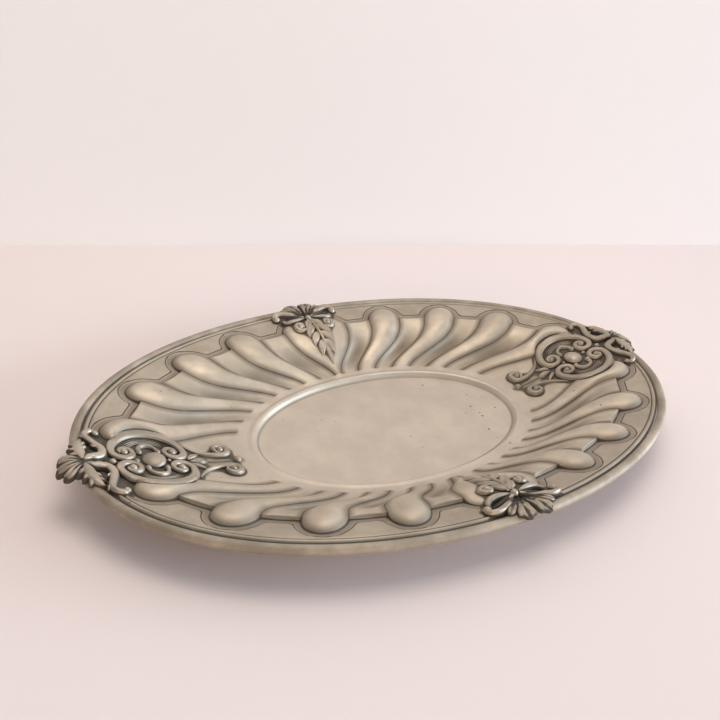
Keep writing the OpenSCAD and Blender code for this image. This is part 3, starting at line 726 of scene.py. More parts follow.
# %% The tree that raises the border
tail_share, tail_height = 0.16, 0.28
swell_share, dome_power, bulb_back = 0.72, 0.8, -0.2
ease_share, end_depth = 0.46, 0.12
channel_flat = 0.55
border_sharp = 38


def relief_tree():
    tree, given, result = geometry_tree("Lobes and flutes", {
        "Lobe height": float, "Bulb height": float, "Flute depth": float, "Lip height": float,
        "Channel depth": float, "Channel width": float,
        "Outline": bpy.types.Object, "Material": bpy.types.Material})
    calc = partial(shader_math, tree)
    share, across_lobe = named(tree, "share"), named(tree, "across")
    square = calc("MULTIPLY", across_lobe, across_lobe)
    low = smooth_range(tree, share, 0.0, tail_share, 0.0, tail_height)
    swell = smooth_range(tree, share, lean_from, swell_share, low, 1.0)
    past = calc("SUBTRACT", share, cap_share)
    cap = calc("DIVIDE", calc("MAXIMUM", past, 0.0), tip_share - cap_share)
    back = calc("DIVIDE", calc("MINIMUM", past, 0.0), bulb_back)

    def dome(along):
        inside = calc("SUBTRACT", 1.0, calc("MULTIPLY_ADD", along, along, square))
        return calc("POWER", calc("MAXIMUM", inside, 0.0), dome_power)

    roll = calc("MULTIPLY", calc("MULTIPLY", dome(cap), swell), given["Lobe height"])
    egg = calc("MULTIPLY", dome(calc("ADD", cap, back)), given["Bulb height"])
    egg = calc("MULTIPLY", egg, named(tree, "bulb"))
    lip = calc("MULTIPLY", named(tree, "lip"), given["Lip height"])
    lobe = calc("MULTIPLY", calc("ADD", roll, egg), named(tree, "lobe"))
    deepen = smooth_range(tree, share, 0.0, deep_share)
    ease_out = smooth_range(tree, share, ease_share, flute_share, 1.0, end_depth)
    hollow = calc("MULTIPLY", calc("MULTIPLY", calc("SUBTRACT", 1.0, square), deepen), ease_out)
    flute = calc("MULTIPLY", calc("MULTIPLY", hollow, named(tree, "flute")), given["Flute depth"])
    place = separate(tree, here(tree))
    nearest = add(tree, "GeometryNodeProximity", {
        0: shape_of(tree, given["Outline"]),
        "Sample Position": combine(tree, place["X"], place["Y"], 0.0)}, target_element="EDGES")
    measured = keep_as(tree, given["Geometry"], "edge", nearest.outputs["Distance"])
    flat_to = calc("MULTIPLY", given["Channel width"], channel_flat)
    near = smooth_range(tree, named(tree, "edge"), flat_to, given["Channel width"], 1.0, 0.0)
    sink = calc("MULTIPLY", calc("MULTIPLY", near, named(tree, "lined")), given["Channel depth"])
    lift = calc("SUBTRACT", calc("MAXIMUM", lobe, lip), calc("ADD", flute, sink))
    raised = passed(tree, "GeometryNodeSetPosition", measured, {"Offset": combine(tree, 0.0, 0.0, lift)})
    finish_tree(tree, raised, given["Material"], result, border_sharp)
    return tree


# %% Raise the border
def points_of(piece):
    flat = np.empty(len(piece.data.vertices) * 3, dtype=np.float32)
    piece.data.vertices.foreach_get("co", flat)
    return flat.reshape(-1, 3).astype(float)


run_tree(dish, relief_tree(), **{
    "Lobe height": 3.5 * MM, "Bulb height": 1.5 * MM, "Flute depth": 3.4 * MM, "Lip height": 2.0 * MM,
    "Channel depth": 0.7 * MM, "Channel width": 4.4 * MM, "Outline": outline, "Material": dish_metal})
bpy.data.objects.remove(outline)
dish_points = points_of(dish)
print("dish triangles:", sum(len(p.vertices) - 2 for p in dish.data.polygons))

# %% [markdown]
# ## The rim bead
# The rim is a round wire, a little wider than it is high, bent to the oval and soldered to the edge
# of the dish. It follows a path, so a tree sweeps one small section round a closed oval.

# %% Sweep the rim bead
bead_steps, bead_sides, bead_sharp = 360, 20, 60


def bead_tree():
    tree, given, result = geometry_tree("Rim bead", {
        "Width": float, "Height": float, "Material": bpy.types.Material})
    path = add(tree, "GeometryNodeMeshToCurve", {"Mesh": given["Geometry"]}).outputs["Curve"]
    path = add(tree, "GeometryNodeSetCurveNormal", {"Curve": path}, mode="Z_UP").outputs["Curve"]
    circle = add(tree, "GeometryNodeCurvePrimitiveCircle", {"Resolution": bead_sides, "Radius": 0.5},
                 mode="RADIUS").outputs["Curve"]
    section = passed(tree, "GeometryNodeTransform", circle, {
        "Scale": combine(tree, given["Width"], given["Height"], 1.0)})
    sweep = add(tree, "GeometryNodeCurveToMesh", {"Curve": path, "Profile Curve": section})
    finish_tree(tree, sweep.outputs["Mesh"], given["Material"], result, bead_sharp)
    return tree


bead_z = rim_high[2] - bead_height / 2
ring_points = oval(edge_axes - bead_width / 2, np.linspace(0, 360, bead_steps, endpoint=False))
ring_points = np.column_stack((ring_points, np.full(bead_steps, bead_z)))
ring_mesh = bpy.data.meshes.new("rim_wire")
ring_mesh.from_pydata(ring_points.tolist(), [(i, (i + 1) % bead_steps) for i in range(bead_steps)], [])
rim_wire = new_object("rim_wire", ring_mesh)
run_tree(rim_wire, bead_tree(), Width=bead_width, Height=bead_height, Material=rim_metal)
print("rim bead faces:", len(rim_wire.data.polygons))

# %% [markdown]
# ## A sheet to lay the castings on
# The castings follow the lobes under them, climb over the rim and droop past the edge. A helper
# sheet copies the face of the dish and carries on over the bead and beyond. The castings are
# dropped on it, and the sheet is thrown away at the end.

# %% The seat sheet
crest_overhang = 10.5 * MM
droop = 4 * MM
lift_from, lift_run = 10.6 * MM, 3.5 * MM
smooth_rows = face_rows - len(moulding)
seat_insets = np.array((11.5, 10, 9, 8, 7, 5, 2.5, 0, -2.5, -5, -7.5, -10, -12.5, -15)) * MM


def seat_sheet():
    rings = [dish_points[i * column_count:(i + 1) * column_count] for i in range(smooth_rows)]
    for inset in seat_insets:
        lift = bead_rise * ease((lift_from - inset) / lift_run)
        past = min(0, inset) / crest_overhang
        z = rim_z + lift - droop * past * past
        xy = ring(edge_axes - inset, np.ones_like(part))
        rings.append(np.column_stack((xy, np.full(column_count, z))))
    quads = tube_faces(len(rings))[2]
    mesh = bpy.data.meshes.new("seat")
    mesh.from_pydata(np.vstack(rings).tolist(), [], quads.tolist())
    return new_object("seat", mesh)


seat = seat_sheet()
print("seat sheet rows:", len(seat.data.vertices) // column_count)

# %% [markdown]
# ## One tree for every casting
# Scrolls, stems and leaves are all strips of metal that follow a drawn line, wide in one place and
# narrow in another. A strip is a chain of points that carry a half width, a height and a groove.
# The tree rounds the chain, sweeps a section along it, drops each point on the seat sheet and
# raises it by the section. Round beads are set on single points in the same tree.

# %% The section and the drop to the seat
top_points = 15
drop_from, drop_length = 0.2, 1.0


def section_ring():
    top = np.cos(np.radians(np.linspace(0, 180, top_points)))
    corners = [(a, 1.0, 0.0) for a in top] + [(a, 0.0, 0.0) for a in (-0.5, 0.0, 0.5)]
    mesh = bpy.data.meshes.new("section")
    mesh.from_pydata(corners, [(i, (i + 1) % len(corners)) for i in range(len(corners))], [])
    return new_object("section", mesh)


def drop_to_seat(tree, target):
    place = separate(tree, here(tree))
    cast = add(tree, "GeometryNodeRaycast", {
        "Target Geometry": target, "Source Position": combine(tree, place["X"], place["Y"], drop_from),
        "Ray Direction": (0, 0, -1), "Ray Length": drop_length})
    return place, separate(tree, cast.outputs["Hit Position"])["Z"]


def move_to(tree, geometry, x, y, z):
    return passed(tree, "GeometryNodeSetPosition", geometry, {"Position": combine(tree, x, y, z)})


section = section_ring()
print("section points:", len(section.data.vertices))

# %% Strips in the casting tree
arch_power, groove_half = 2.6, 0.6


def sweep_strips(tree, given, target, profile):
    calc = partial(shader_math, tree)
    path = add(tree, "GeometryNodeMeshToCurve", {"Mesh": given["Geometry"]}).outputs["Curve"]
    path = add(tree, "GeometryNodeCurveSplineType", {"Curve": path},
               spline_type="CATMULL_ROM").outputs["Curve"]
    path = add(tree, "GeometryNodeResampleCurve", {"Curve": path, "Length": given["Step"]},
               mode="LENGTH").outputs["Curve"]
    path = keep_as(tree, path, "middle", here(tree), "FLOAT_VECTOR")
    path = keep_as(tree, path, "heading", add(tree, "GeometryNodeInputTangent").outputs[0], "FLOAT_VECTOR")
    loop = add(tree, "GeometryNodeMeshToCurve", {"Mesh": profile}).outputs["Curve"]
    loop = keep_as(tree, loop, "section", here(tree), "FLOAT_VECTOR")
    sweep = add(tree, "GeometryNodeCurveToMesh", {"Curve": path, "Profile Curve": loop, "Fill Caps": True})
    middle, heading, shape = (
        separate(tree, named(tree, name, "FLOAT_VECTOR")) for name in ("middle", "heading", "section"))
    aside = calc("MULTIPLY", shape["X"], named(tree, "half"))
    x = calc("MULTIPLY_ADD", heading["Y"], calc("MULTIPLY", aside, -1.0), middle["X"])
    y = calc("MULTIPLY_ADD", heading["X"], aside, middle["Y"])
    flat = move_to(tree, sweep.outputs["Mesh"], x, y, 0.0)
    off = calc("ABSOLUTE", shape["X"])
    arch = calc("SUBTRACT", 1.0, calc("POWER", off, arch_power))
    arch = calc("SQRT", calc("MAXIMUM", 0.0, arch))
    valley = smooth_range(tree, off, 0.0, groove_half, 1.0, 0.0)
    valley = calc("MULTIPLY", valley, named(tree, "groove"))
    rise = calc("MULTIPLY", arch, calc("SUBTRACT", 1.0, valley))
    lift = calc("MULTIPLY", calc("MULTIPLY", rise, shape["Y"]), named(tree, "height"))
    place, ground_z = drop_to_seat(tree, target)
    z = calc("ADD", ground_z, calc("SUBTRACT", lift, given["Sink"]))
    return move_to(tree, flat, place["X"], place["Y"], z)


# %% Beads, and the casting tree as a whole
ball_segments, ball_rings = 28, 18
cast_sharp = 62


def set_beads(tree, given, target):
    place, ground_z = drop_to_seat(tree, target)
    seated = move_to(tree, shape_of(tree, given["Beads"]), place["X"], place["Y"], ground_z)
    ball = add(tree, "GeometryNodeMeshUVSphere", {
        "Segments": ball_segments, "Rings": ball_rings, "Radius": 1.0})
    size = named(tree, "radius")
    sown = add(tree, "GeometryNodeInstanceOnPoints", {
        "Points": seated, "Instance": ball.outputs["Mesh"],
        "Scale": combine(tree, size, size, named(tree, "tall"))})
    return sown.outputs["Instances"]


def casting_tree():
    tree, given, result = geometry_tree("Casting", {
        "Step": float, "Sink": float, "Section": bpy.types.Object, "Seat": bpy.types.Object,
        "Beads": bpy.types.Object, "Material": bpy.types.Material})
    target, profile = shape_of(tree, given["Seat"]), shape_of(tree, given["Section"])
    together = add(tree, "GeometryNodeJoinGeometry")
    for metal in (sweep_strips(tree, given, target, profile), set_beads(tree, given, target)):
        tree.links.new(metal, together.inputs["Geometry"])
    finish_tree(tree, together.outputs["Geometry"], given["Material"], result, cast_sharp)
    return tree


casting = casting_tree()
print("casting tree nodes:", len(casting.nodes))

# %% [markdown]
# A strip is written as a few points in millimetres, with short lists of widths and heights that are
# spread along it. Every ornament is drawn once, at the right end or at the back, and turned over
# for its other places. A mirrored strip is also reversed, so that its outer side stays its outer side.

# %% Strips, beads and their mirror images
def strip(points, halves, heights, groove=0.0):
    """A line of points, with half widths and heights spread along it and the share of its groove."""
    points = np.array(points, dtype=float)
    ends = np.linspace(0, 1, len(points))
    spread = [np.interp(ends, np.linspace(0, 1, len(v)), v) for v in (halves, heights)]
    return {"points": points, "half": spread[0], "height": spread[1], "groove": groove}


def flipped(strips, x, y):
    turn = np.array((x, y))
    order = 1 if x * y > 0 else -1
    return [{**s, "points": (s["points"] * turn)[::order], "half": s["half"][::order],
             "height": s["height"][::order]} for s in strips]


def turned(beads, x, y):
    """Beads turned over. Each is written as its place x and y, its radius and its height."""
    return [tuple(np.array(b) * (x, y, 1, 1)) for b in beads]


def both(strips, beads, x, y):
    """An ornament's half and its image, across the long axis (1, -1) or the short one (-1, 1)."""
    return strips + flipped(strips, x, y), beads + turned(beads, x, y)


# %% Cast a piece for each of its places
strip_step, strip_sink = 0.8 * MM, 0.3 * MM
castings = {}


def cast_piece(name, strips, beads):
    chains = [np.column_stack((s["points"], np.zeros(len(s["points"])))) * MM for s in strips]
    mesh = chain_mesh(name, chains) if chains else bpy.data.meshes.new(name)
    if chains:
        for key in ("half", "height"):
            store(mesh, key, np.concatenate([s[key] for s in strips]) * MM)
        store(mesh, "groove", np.concatenate([np.full(len(s["points"]), s["groove"]) for s in strips]))
    dots = bpy.data.meshes.new(name + "_beads")
    dots.from_pydata([(b[0] * MM, b[1] * MM, 0) for b in beads], [], [])
    store(dots, "radius", np.array([b[2] for b in beads]) * MM)
    store(dots, "tall", np.array([b[3] for b in beads]) * MM)
    dots = new_object(name + "_beads", dots)
    piece = run_tree(new_object(name, mesh), casting, Step=strip_step, Sink=strip_sink, Section=section,
                     Seat=seat, Beads=dots, Material=cast_metal)
    bpy.data.objects.remove(dots)
    return piece


def cast_twice(name, strips, beads, places):
    for word, x, y in places:
        castings[f"{name}_{word}"] = cast_piece(
            f"cast_{name}_{word}", flipped(strips, x, y), turned(beads, x, y))


cast_at_ends = partial(cast_twice, places=(("right", 1, 1), ("left", -1, 1)))
cast_at_sides = partial(cast_twice, places=(("back", 1, 1), ("front", 1, -1)))


# %% Arcs and spirals
def arc(centre, rx, ry, start, end, steps):
    turn = np.radians(np.linspace(start, end, steps))
    return np.column_stack((centre[0] + rx * np.cos(turn), centre[1] + ry * np.sin(turn)))


def spiral(centre, r_start, r_end, start, end, steps):
    r = np.linspace(r_start, r_end, steps)
    return arc(centre, r, r, start, end, steps)


# %% [markdown]
# ## The cartouche at each end
# Two straps face each other across the long axis. Each rolls into a volute at both ends, with a
# round eye. Inside them lie a round boss, two small scrolls and a set of fine ribs.

# %% Frame, boss and inner scrolls
end_x = edge_axes[0] / MM
boss = (boss_x / MM, 0.0)
volute_pitch, volute_offset, volute_radius, volute_eye = 28.5, 8.6, 7.0, 2.0
frame_half = volute_pitch / 2 + volute_radius
strap_reach = 27
arch_rise = strap_reach - volute_offset
outer_volute = (boss[0] + volute_pitch / 2, volute_offset)
inner_volute = (boss[0] - volute_pitch / 2, volute_offset)
arch_centre = (boss[0], volute_offset)
strap = np.vstack((
    spiral(outer_volute, volute_eye, volute_radius, -20, 360, 22),
    arc(arch_centre, frame_half, arch_rise, 0, 180, 22)[1:],
    spiral(inner_volute, volute_radius, volute_eye, 180, 560, 22)[1:]))
strap_halves = (1.3, 1.9, 2.6, 3.5, 2.6, 1.9, 1.3)
strap_heights = (2.8, 3.3, 3.5, 3.9, 3.5, 3.3, 2.8)
eye = (2.7, 3.7)
eyes = [(*outer_volute, *eye), (*inner_volute, *eye)]
cast_at_ends("cartouche_frame", *both([strip(strap, strap_halves, strap_heights, 0.1)], eyes, 1, -1))

rib_count, rib_gap = 4, 1.4
rib_rx, rib_ry = frame_half - 4.3, arch_rise - 4.2
ribs = [strip(arc(arch_centre, rib_rx - rib_gap * i, rib_ry - rib_gap * i, 12, 168, 20),
              (0.2, 0.5, 0.5, 0.2), (0.5, 1.2, 1.2, 0.5)) for i in range(rib_count)]
scroll_centre, scroll_rx, scroll_ry = (boss[0], 9.4), 5.6, 6.2
inner_scroll = strip(
    arc(scroll_centre, scroll_rx, scroll_ry, -8, 188, 16),
    (1.6, 1.4, 1.7, 1.4, 1.6), (2.6, 2.6, 3.0, 2.6, 2.6))
scroll_ends = [(boss[0] + side * scroll_rx, 8.6, 2.0, 3.0) for side in (-1, 1)]
cast_at_ends("inner_scrolls", *both([inner_scroll, *ribs], scroll_ends, 1, -1))
cast_at_ends("cartouche_boss", [], [(*boss, 7.5, 4.4)])
print("cartouche castings:", len(castings))

# %% [markdown]
# Small beads mark the long axis. A trefoil and two tapering scrolls run from the cartouche down to
# the well.

# %% Beads, trefoil and tail
trefoil_x = boss[0] - frame_half
tail_length, tail_aside = 24.5, 11.0
tail_x = trefoil_x - tail_length
tail_centre = (tail_x, tail_aside)
boss_gap, pellet_gap, tip_gap = 9.4, 1.9, 7.3
cast_at_ends("end_beads", [], [
    (boss[0] + boss_gap, 0, 1.7, 2.2), (boss[0] - boss_gap, 0, 1.7, 2.2),
    (boss[0] + frame_half + pellet_gap, 0, 2.3, 2.9), (tail_x - tip_gap, 0, 2.6, 3.0)])


def from_trefoil(points):
    return [(trefoil_x + x, y) for x, y in points]


petal = strip(
    from_trefoil([(-1.5, 0), (-5.5, 0), (-9, 0), (-12, 0)]),
    (0.8, 2.3, 2.5, 0.5), (1.6, 2.9, 2.9, 1.0), 0.2)
side_petal = strip(
    from_trefoil([(-0.4, 2.0), (-3.2, 4.4), (-6.2, 6), (-9, 8.4)]),
    (0.8, 1.7, 1.5, 0.4), (1.4, 2.6, 2.4, 0.9), 0.2)
cast_at_ends("trefoil", [petal] + both([side_petal], [], 1, -1)[0], [])
tail_path = np.vstack((
    from_trefoil([(-0.5, 18.8), (-4.5, 13.4), (-10, 9), (-17, 6.6)]),
    spiral(tail_centre, 4.8, 3.4, 270, -70, 16)))
tail = strip(tail_path, (0.5, 1.8, 2.4, 2.4, 1.9, 1.6, 1.2), (1.2, 2.8, 3.2, 3.4, 3.4, 3.2, 2.4))
cast_at_ends("tail_scrolls", *both([tail], [(*tail_centre, 2.4, 3.8)], 1, -1))
print("castings so far:", len(castings))

# %% [markdown]
# ## Sprays and crest at each end
# Two acanthus stems spring from the crest, curl round a dark hollow and end in buds. A row of small
# leaves follows the rim outside them. The crest is a fan of leaves that folds over the edge.

# %% End sprays and crest
def from_end(points):
    return [(end_x + x, y) for x, y in points]


stem = strip(
    from_end([(-4.6, 1.2), (-9, 4.1), (-13, 4.7), (-16.4, 7), (-17.6, 12), (-15.7, 18), (-13.5, 23),
              (-12.6, 27.4), (-14.4, 31), (-17.6, 32.2), (-19.4, 30.6)]),
    (1.4, 2.7, 3.1, 3.1, 3.0, 2.7, 2.4, 2.1, 1.9, 1.8, 1.5),
    (3.0, 4.4, 4.6, 4.6, 4.4, 4.0, 3.7, 3.4, 3.3, 3.1, 2.6))
rim_leaf = strip(
    from_end([(-4.6, 2.4), (-4.8, 8), (-5.2, 14), (-6.6, 19.6), (-9.2, 24.4)]),
    (2.0, 3.6, 3.8, 3.0, 0.8), (3.6, 4.4, 4.2, 3.6, 1.6))


def tooth(points, half, height):
    return strip(from_end(points), (half * 0.8, half, half * 0.45), (height, height, height * 0.5))


teeth = [
    tooth([(-5, 6), (-1.2, 8.8), (2.2, 11)], 2.5, 3.8),
    tooth([(-5.2, 11), (-2.2, 14), (0.2, 16.6)], 2.3, 3.6),
    tooth([(-5.8, 16), (-3.8, 18.8), (-2.2, 21.4)], 2.0, 3.2),
    tooth([(-6.6, 12.6), (-9, 14.6), (-10.4, 16.6)], 1.3, 3.4),
    tooth([(-7, 17), (-9.4, 18.8), (-10.8, 21)], 1.2, 3.0),
    tooth([(-16, 14), (-13.8, 15.4), (-12.6, 17.6)], 1.2, 3.6),
    tooth([(-13.4, 24.6), (-11.2, 26), (-9.8, 28.4)], 1.3, 2.8)]
bud = (end_x - 19.0, 30.2, 2.5, 3.4)
cast_at_ends("end_sprays", *both([stem, rim_leaf, *teeth], [bud], 1, -1))

crest_heights, crest_groove = (3.0, 4.4, 4.6, 4.0, 2.0), 0.3
crest_middle = strip(
    from_end([(-6, 0), (-1, 0), (4.5, 0), (9, 0), (10.6, 0)]),
    (1.0, 2.4, 3.8, 3.4, 1.4), crest_heights, crest_groove)
crest_side = strip(
    from_end([(-5.6, 1.2), (-1.6, 3.2), (2.8, 6), (6.4, 8.2), (7.8, 9)]),
    (0.9, 2.2, 3.5, 3.2, 1.3), crest_heights, crest_groove)
cast_at_ends("end_crest", [crest_middle] + both([crest_side], [], 1, -1)[0], [])
print("castings so far:", len(castings))

# %% [markdown]
# ## The ornament at each side
# A hanging acanthus leaf lies on its broad lobe. Volutes, leaves and budded stems spring from a
# knot above it, and a fan of leaves folds over the edge. The leaf is a midrib with pairs of small
# leaves, so a loop draws it.

# %% Side leaf, volutes and knot
knot_inset = 20
knot_y = edge_axes[1] / MM - knot_inset


def from_knot(points):
    return [(x, knot_y + y) for x, y in points]


cast_at_sides("side_knot", [], [(0, knot_y, 2.6, 3.4)])
midrib = strip(
    from_knot([(0, -3), (0, -16), (0, -30), (0, -36)]), (1.3, 1.4, 1.1, 0.5), (2.4, 2.8, 2.4, 1.2), 0.2)
leaf_tip = strip(from_knot([(0, -30), (0, -37), (0, -43.5)]), (1.4, 2.3, 0.4), (1.8, 2.4, 0.8), 0.3)
leaflets = [strip(
    from_knot([(0.4, root), (reach * 0.5, root - 2.6), (reach * 0.86, root - 6.6), (reach, root - 10.2)]),
    (1.4, 3.1, 2.7, 0.5), (1.8, 2.8, 2.5, 0.8), 0.3)
    for root, reach in ((-4.5, 6.4), (-11.5, 9.2), (-19, 8.2), (-26.5, 5.6))]
cast_at_sides("side_leaf", [midrib, leaf_tip, *both(leaflets, [], -1, 1)[0]], [])

volute_centre = (11.8, knot_y - 10.0)
volute_path = np.vstack((
    from_knot([(1.8, -2.4), (3.0, -8.4), (7.0, -13.4)]),
    spiral(volute_centre, 4.0, 2.0, 270, 590, 16)))
volute = strip(volute_path, (1.0, 1.7, 1.8, 1.6, 1.4), (2.0, 3.0, 3.2, 3.0, 2.6), 0.05)
cast_at_sides("side_volutes", *both([volute], [(*volute_centre, 2.4, 3.4)], -1, 1))
print("castings so far:", len(castings))

# %% Side sprays and crest
side_stem = strip(
    from_knot([(2.6, 1.4), (7.5, 4.8), (12.8, 8.2), (19, 10.4), (24, 9.6), (26, 6.8)]),
    (1.4, 2.3, 2.5, 2.4, 2.1, 1.7), (3.0, 4.0, 4.2, 4.0, 3.6, 3.0))
curled_leaf = strip(
    from_knot([(2.6, 0.2), (9, -1.2), (15.2, -1.4), (19.4, 1), (19, 4.6)]),
    (0.9, 2.0, 2.4, 2.1, 0.7), (2.2, 3.2, 3.6, 3.4, 1.8))
inner_leaf = strip(
    from_knot([(3.4, 1.2), (8.5, 2.4), (13.5, 3.6), (16.8, 4.8)]),
    (0.8, 1.6, 1.7, 0.5), (2.2, 3.0, 3.0, 1.2))
side_bud = (24.2, knot_y + 6.2, 3.1, 3.8)
cast_at_sides("side_sprays", *both([side_stem, curled_leaf, inner_leaf], [side_bud], -1, 1))

fan_heights = (2.4, 3.2, 3.4, 2.8, 1.4)
tip_halves, tip_heights = (1.9, 2.7, 1.5), (3.0, 3.2, 1.6)
side_fan = [
    strip(from_knot([(1.6, 4.4), (3.4, 10), (5.4, 15.2), (6.9, 19.6), (7.7, 22.6)]),
          (1.2, 3.2, 5.0, 4.4, 1.7), fan_heights, 0.4),
    strip(from_knot([(4.4, 12.6), (3.5, 17.4), (2.9, 21.4)]), tip_halves, tip_heights),
    strip(from_knot([(6.8, 13.4), (9.4, 16.6), (11.6, 19.2)]), tip_halves, tip_heights),
    strip(from_knot([(3.2, 4.2), (8, 8.8), (12, 12.2), (14.8, 14.4), (16.4, 15.6)]),
          (0.9, 2.1, 3.0, 2.5, 0.9), fan_heights, 0.3)]
cast_at_sides("side_crest", both(side_fan, [], -1, 1)[0], [])
bpy.data.objects.remove(seat)
bpy.data.objects.remove(section)
print("castings:", len(castings))

# %% [markdown]
# ## Dirt and painted shade in the hollows
# A polishing cloth rides over the high relief and never reaches the low places between. To find them
# the whole face becomes a coarse map of heights, and the map is blurred. A point that lies below the
# blurred map is in a hollow, and the further below it lies, the darker it is: tarnish and painted shade
# together. The dish darkens in this way only beside its castings, because its creases have tarnish
# and painted shade of their own. Hands keep the rim clean, so it has none.

# %% A blurred map of heights
map_cell = 1 * MM
map_low = np.array((-0.24, -0.17))
map_shape = (480, 340)
fill_steps, blur_steps, near_steps = 5, 22, 12
near_gain = 3.5
less_rubbed_and_shaded = 0.9 * MM


def map_place(points):
    return tuple(((points[:, :2] - map_low) / map_cell).astype(int).T)


def map_value(values, points):
    """A map's value at each point, shared out between the four cells round it."""
    spot = (points[:, :2] - map_low) / map_cell - 0.5
    cell = np.floor(spot).astype(int)
    i, j = cell.T
    f, g = (spot - cell).T
    near_side, far_side = (lerp(values[i, k], values[i + 1, k], f) for k in (j, j + 1))
    return lerp(near_side, far_side, g)


def spread_once(values):
    for axis in (0, 1):
        values = (np.roll(values, 1, axis) + 2 * values + np.roll(values, -1, axis)) / 4
    return values


def blurred_heights(point_sets):
    top = np.full(map_shape, -1.0)
    for points in point_sets:
        np.maximum.at(top, map_place(points), points[:, 2])
    for _ in range(fill_steps):
        known = top >= 0
        weight = spread_once(known * 1.0)
        guess = spread_once(np.where(known, top, 0)) / np.maximum(weight, 1e-9)
        top = np.where(known, top, np.where(weight > 0, guess, -1))
    known = top >= 0
    heights, weight = np.where(known, top, 0), known * 1.0
    for _ in range(blur_steps):
        heights, weight = spread_once(heights), spread_once(weight)
    return heights / np.maximum(weight, 1e-9)


# %% How deep each point lies
castings_made = tuple(castings.values())
face_count = face_rows * column_count
blurred = blurred_heights([dish_points[:face_count], *map(points_of, (rim_wire, *castings_made))])
near_castings = np.zeros(map_shape)
for piece in castings_made:
    near_castings[map_place(points_of(piece))] = 1
for _ in range(near_steps):
    near_castings = spread_once(near_castings)
near_castings = np.minimum(1, near_castings * near_gain)
for piece in (dish, *castings_made):
    points = points_of(piece)
    hollow = map_value(blurred, points) - points[:, 2]
    # Crests and sprays are made darker still, with tarnish and painted shade.
    if "crest" in piece.name or "sprays" in piece.name:
        hollow += less_rubbed_and_shaded
    if piece is dish:
        hollow[face_count:] = 0
        hollow *= map_value(near_castings, points)
        print("deepest hollow of the dish in mm:", round(hollow.max() / MM, 1))
    store(piece.data, "hollow", hollow)

# %% [markdown]
# ## Hand the pieces to the frame
# Every piece stands for the solid of the same name and rides on the one rigid body of the tray.

# %% Name, ride and replace
made = {"tray_body": dish, "rim_bead": rim_wire, **castings}
for node, piece in made.items():
    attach(piece, "root")
    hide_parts(node)
print("pieces:", len(made))

# %% [markdown]
# ## Cloth, wall and light
# The tray stands on a pale cloth in front of a white wall. A cool window lies low at the right, a
# warm lamp hangs overhead and a faint warm light comes from the room at the left. Lamps close by
# would leave bright patches on the cloth, so the window and the room's light are large and far off.
# The cloth and the wall are plain, because they only carry the shadow and what the metal mirrors.

# %% Camera
image_size = 720
focal_pixels = 853.33
sensor = 36.0
camera_place = Vector((-0.2973, -0.3974, 0.3109))
camera_forward = Vector((0.4937, 0.7346, -0.4656)).normalized()
camera_roll = 0.0952
level_right = camera_forward.cross(Vector((0, 0, 1))).normalized()
level_up = level_right.cross(camera_forward)
right = level_right * math.cos(camera_roll) + level_up * math.sin(camera_roll)
up = level_up * math.cos(camera_roll) - level_right * math.sin(camera_roll)
lens = bpy.data.cameras.new("camera")
lens.sensor_width = sensor
lens.lens = focal_pixels / image_size * sensor
camera = bpy.data.objects.new("camera", lens)
camera.matrix_world = Matrix((
    (right.x, up.x, -camera_forward.x, camera_place.x),
    (right.y, up.y, -camera_forward.y, camera_place.y),
    (right.z, up.z, -camera_forward.z, camera_place.z),
    (0, 0, 0, 1)))
bpy.context.scene.collection.objects.link(camera)
bpy.context.scene.camera = camera
print("lens in mm:", round(lens.lens, 2))


# %% Plain finishes and sheets
def on_floor(px, py):
    middle = image_size / 2
    ray = camera_forward + right * ((px - middle) / focal_pixels) - up * ((py - middle) / focal_pixels)
    return camera_place + ray * (-camera_place.z / ray.z)


def plain_material(name, colour, rough):
    material = bpy.data.materials.new(name)
    material.use_nodes = True
    shader = material.node_tree.nodes["Principled BSDF"]
    shader.inputs["Base Color"].default_value = colour
    shader.inputs["Roughness"].default_value = rough
    return material


def clear_from_behind(material):
    """The back of the sheet is clear to the camera, so the tray shows from behind the wall too."""
    tree = material.node_tree
    behind = add(tree, "ShaderNodeNewGeometry").outputs["Backfacing"]
    looking = add(tree, "ShaderNodeLightPath").outputs["Is Camera Ray"]
    either = add(tree, "ShaderNodeMixShader", {
        "Fac": shader_math(tree, "MULTIPLY", behind, looking),
        1: tree.nodes["Principled BSDF"].outputs[0],
        2: add(tree, "ShaderNodeBsdfTransparent").outputs[0]})
    tree.links.new(either.outputs[0], tree.nodes["Material Output"].inputs["Surface"])


def sheet(name, corners, material):
    mesh = bpy.data.meshes.new(name)
    mesh.from_pydata([tuple(c) for c in corners], [], [(0, 1, 2, 3)])
    mesh.materials.append(material)
    piece = new_object(name, mesh)


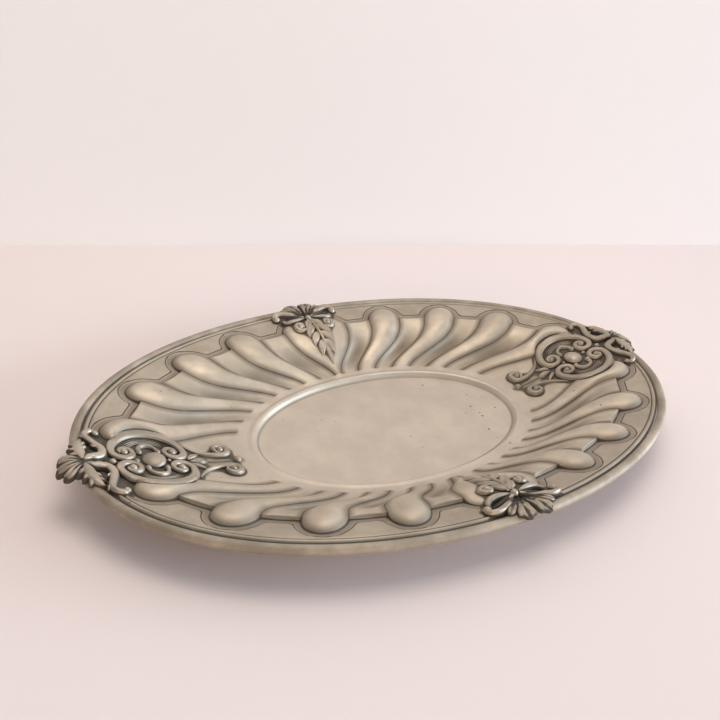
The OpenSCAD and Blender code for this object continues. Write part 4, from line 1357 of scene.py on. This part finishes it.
# %% Lay the cloth and stand the wall
# The row of the picture where the wall meets the cloth
wall_row = 245
cloth = plain_material("pale cloth", (0.86, 0.76, 0.74, 1), 0.9)
plaster = plain_material("white wall", (0.81, 0.80, 0.80, 1), 0.9)
clear_from_behind(plaster)
left_foot, right_foot = on_floor(0, wall_row), on_floor(image_size, wall_row)
along = (right_foot - left_foot).normalized()
toward = Vector((along.y, -along.x, 0))
if toward.dot(camera_forward) > 0:
    toward = -toward
reach, depth, height = 2.5, 3.0, 1.6
base = (left_foot + right_foot) / 2
ends = (base - along * reach, base + along * reach)
forward, upward = toward * depth, Vector((0, 0, height))
sheet("floor", (ends[0], ends[0] + forward, ends[1] + forward, ends[1]), cloth)
sheet("backdrop", (ends[0], ends[1], ends[1] + upward, ends[0] + upward), plaster)
print("wall stands at", tuple(round(v, 3) for v in base))


# %% Window, lamp and room light
def area_light(name, place, target, size, watts, colour):
    lamp = bpy.data.lights.new(name, "AREA")
    lamp.shape = "RECTANGLE"
    lamp.size, lamp.size_y = size
    lamp.energy = watts
    lamp.color = colour
    piece = bpy.data.objects.new(name, lamp)
    piece.location = place
    piece.rotation_euler = (Vector(target) - Vector(place)).to_track_quat("-Z", "Y").to_euler()
    bpy.context.scene.collection.objects.link(piece)


# Name, place, where it points, width and height, watts and colour
lamps = (
    ("window", (5.2, -3.2, 1.1), (0.1, -0.05, 0), (5.1, 1.8), 470, (0.74, 0.86, 1.0)),
    ("ceiling", (0.1, 0.0, 1.3), (0, 0, 0), (0.9, 0.9), 8.0, (1.0, 0.88, 0.75)),
    ("room", (-1.75, -3.25, 0.75), (0, 0, 0), (3.0, 1.0), 50, (1.0, 0.66, 0.38)))
for lamp in lamps:
    area_light(*lamp)
sky_colour, sky_strength = (0.71, 0.85, 1.0, 1), 0.32
world = bpy.data.worlds.new("daylight")
world.use_nodes = True
background = world.node_tree.nodes["Background"]
background.inputs["Color"].default_value = sky_colour
background.inputs["Strength"].default_value = sky_strength
bpy.context.scene.world = world
bpy.context.scene.view_settings.view_transform = "Standard"
print("lamps:", [lamp[0] for lamp in lamps])
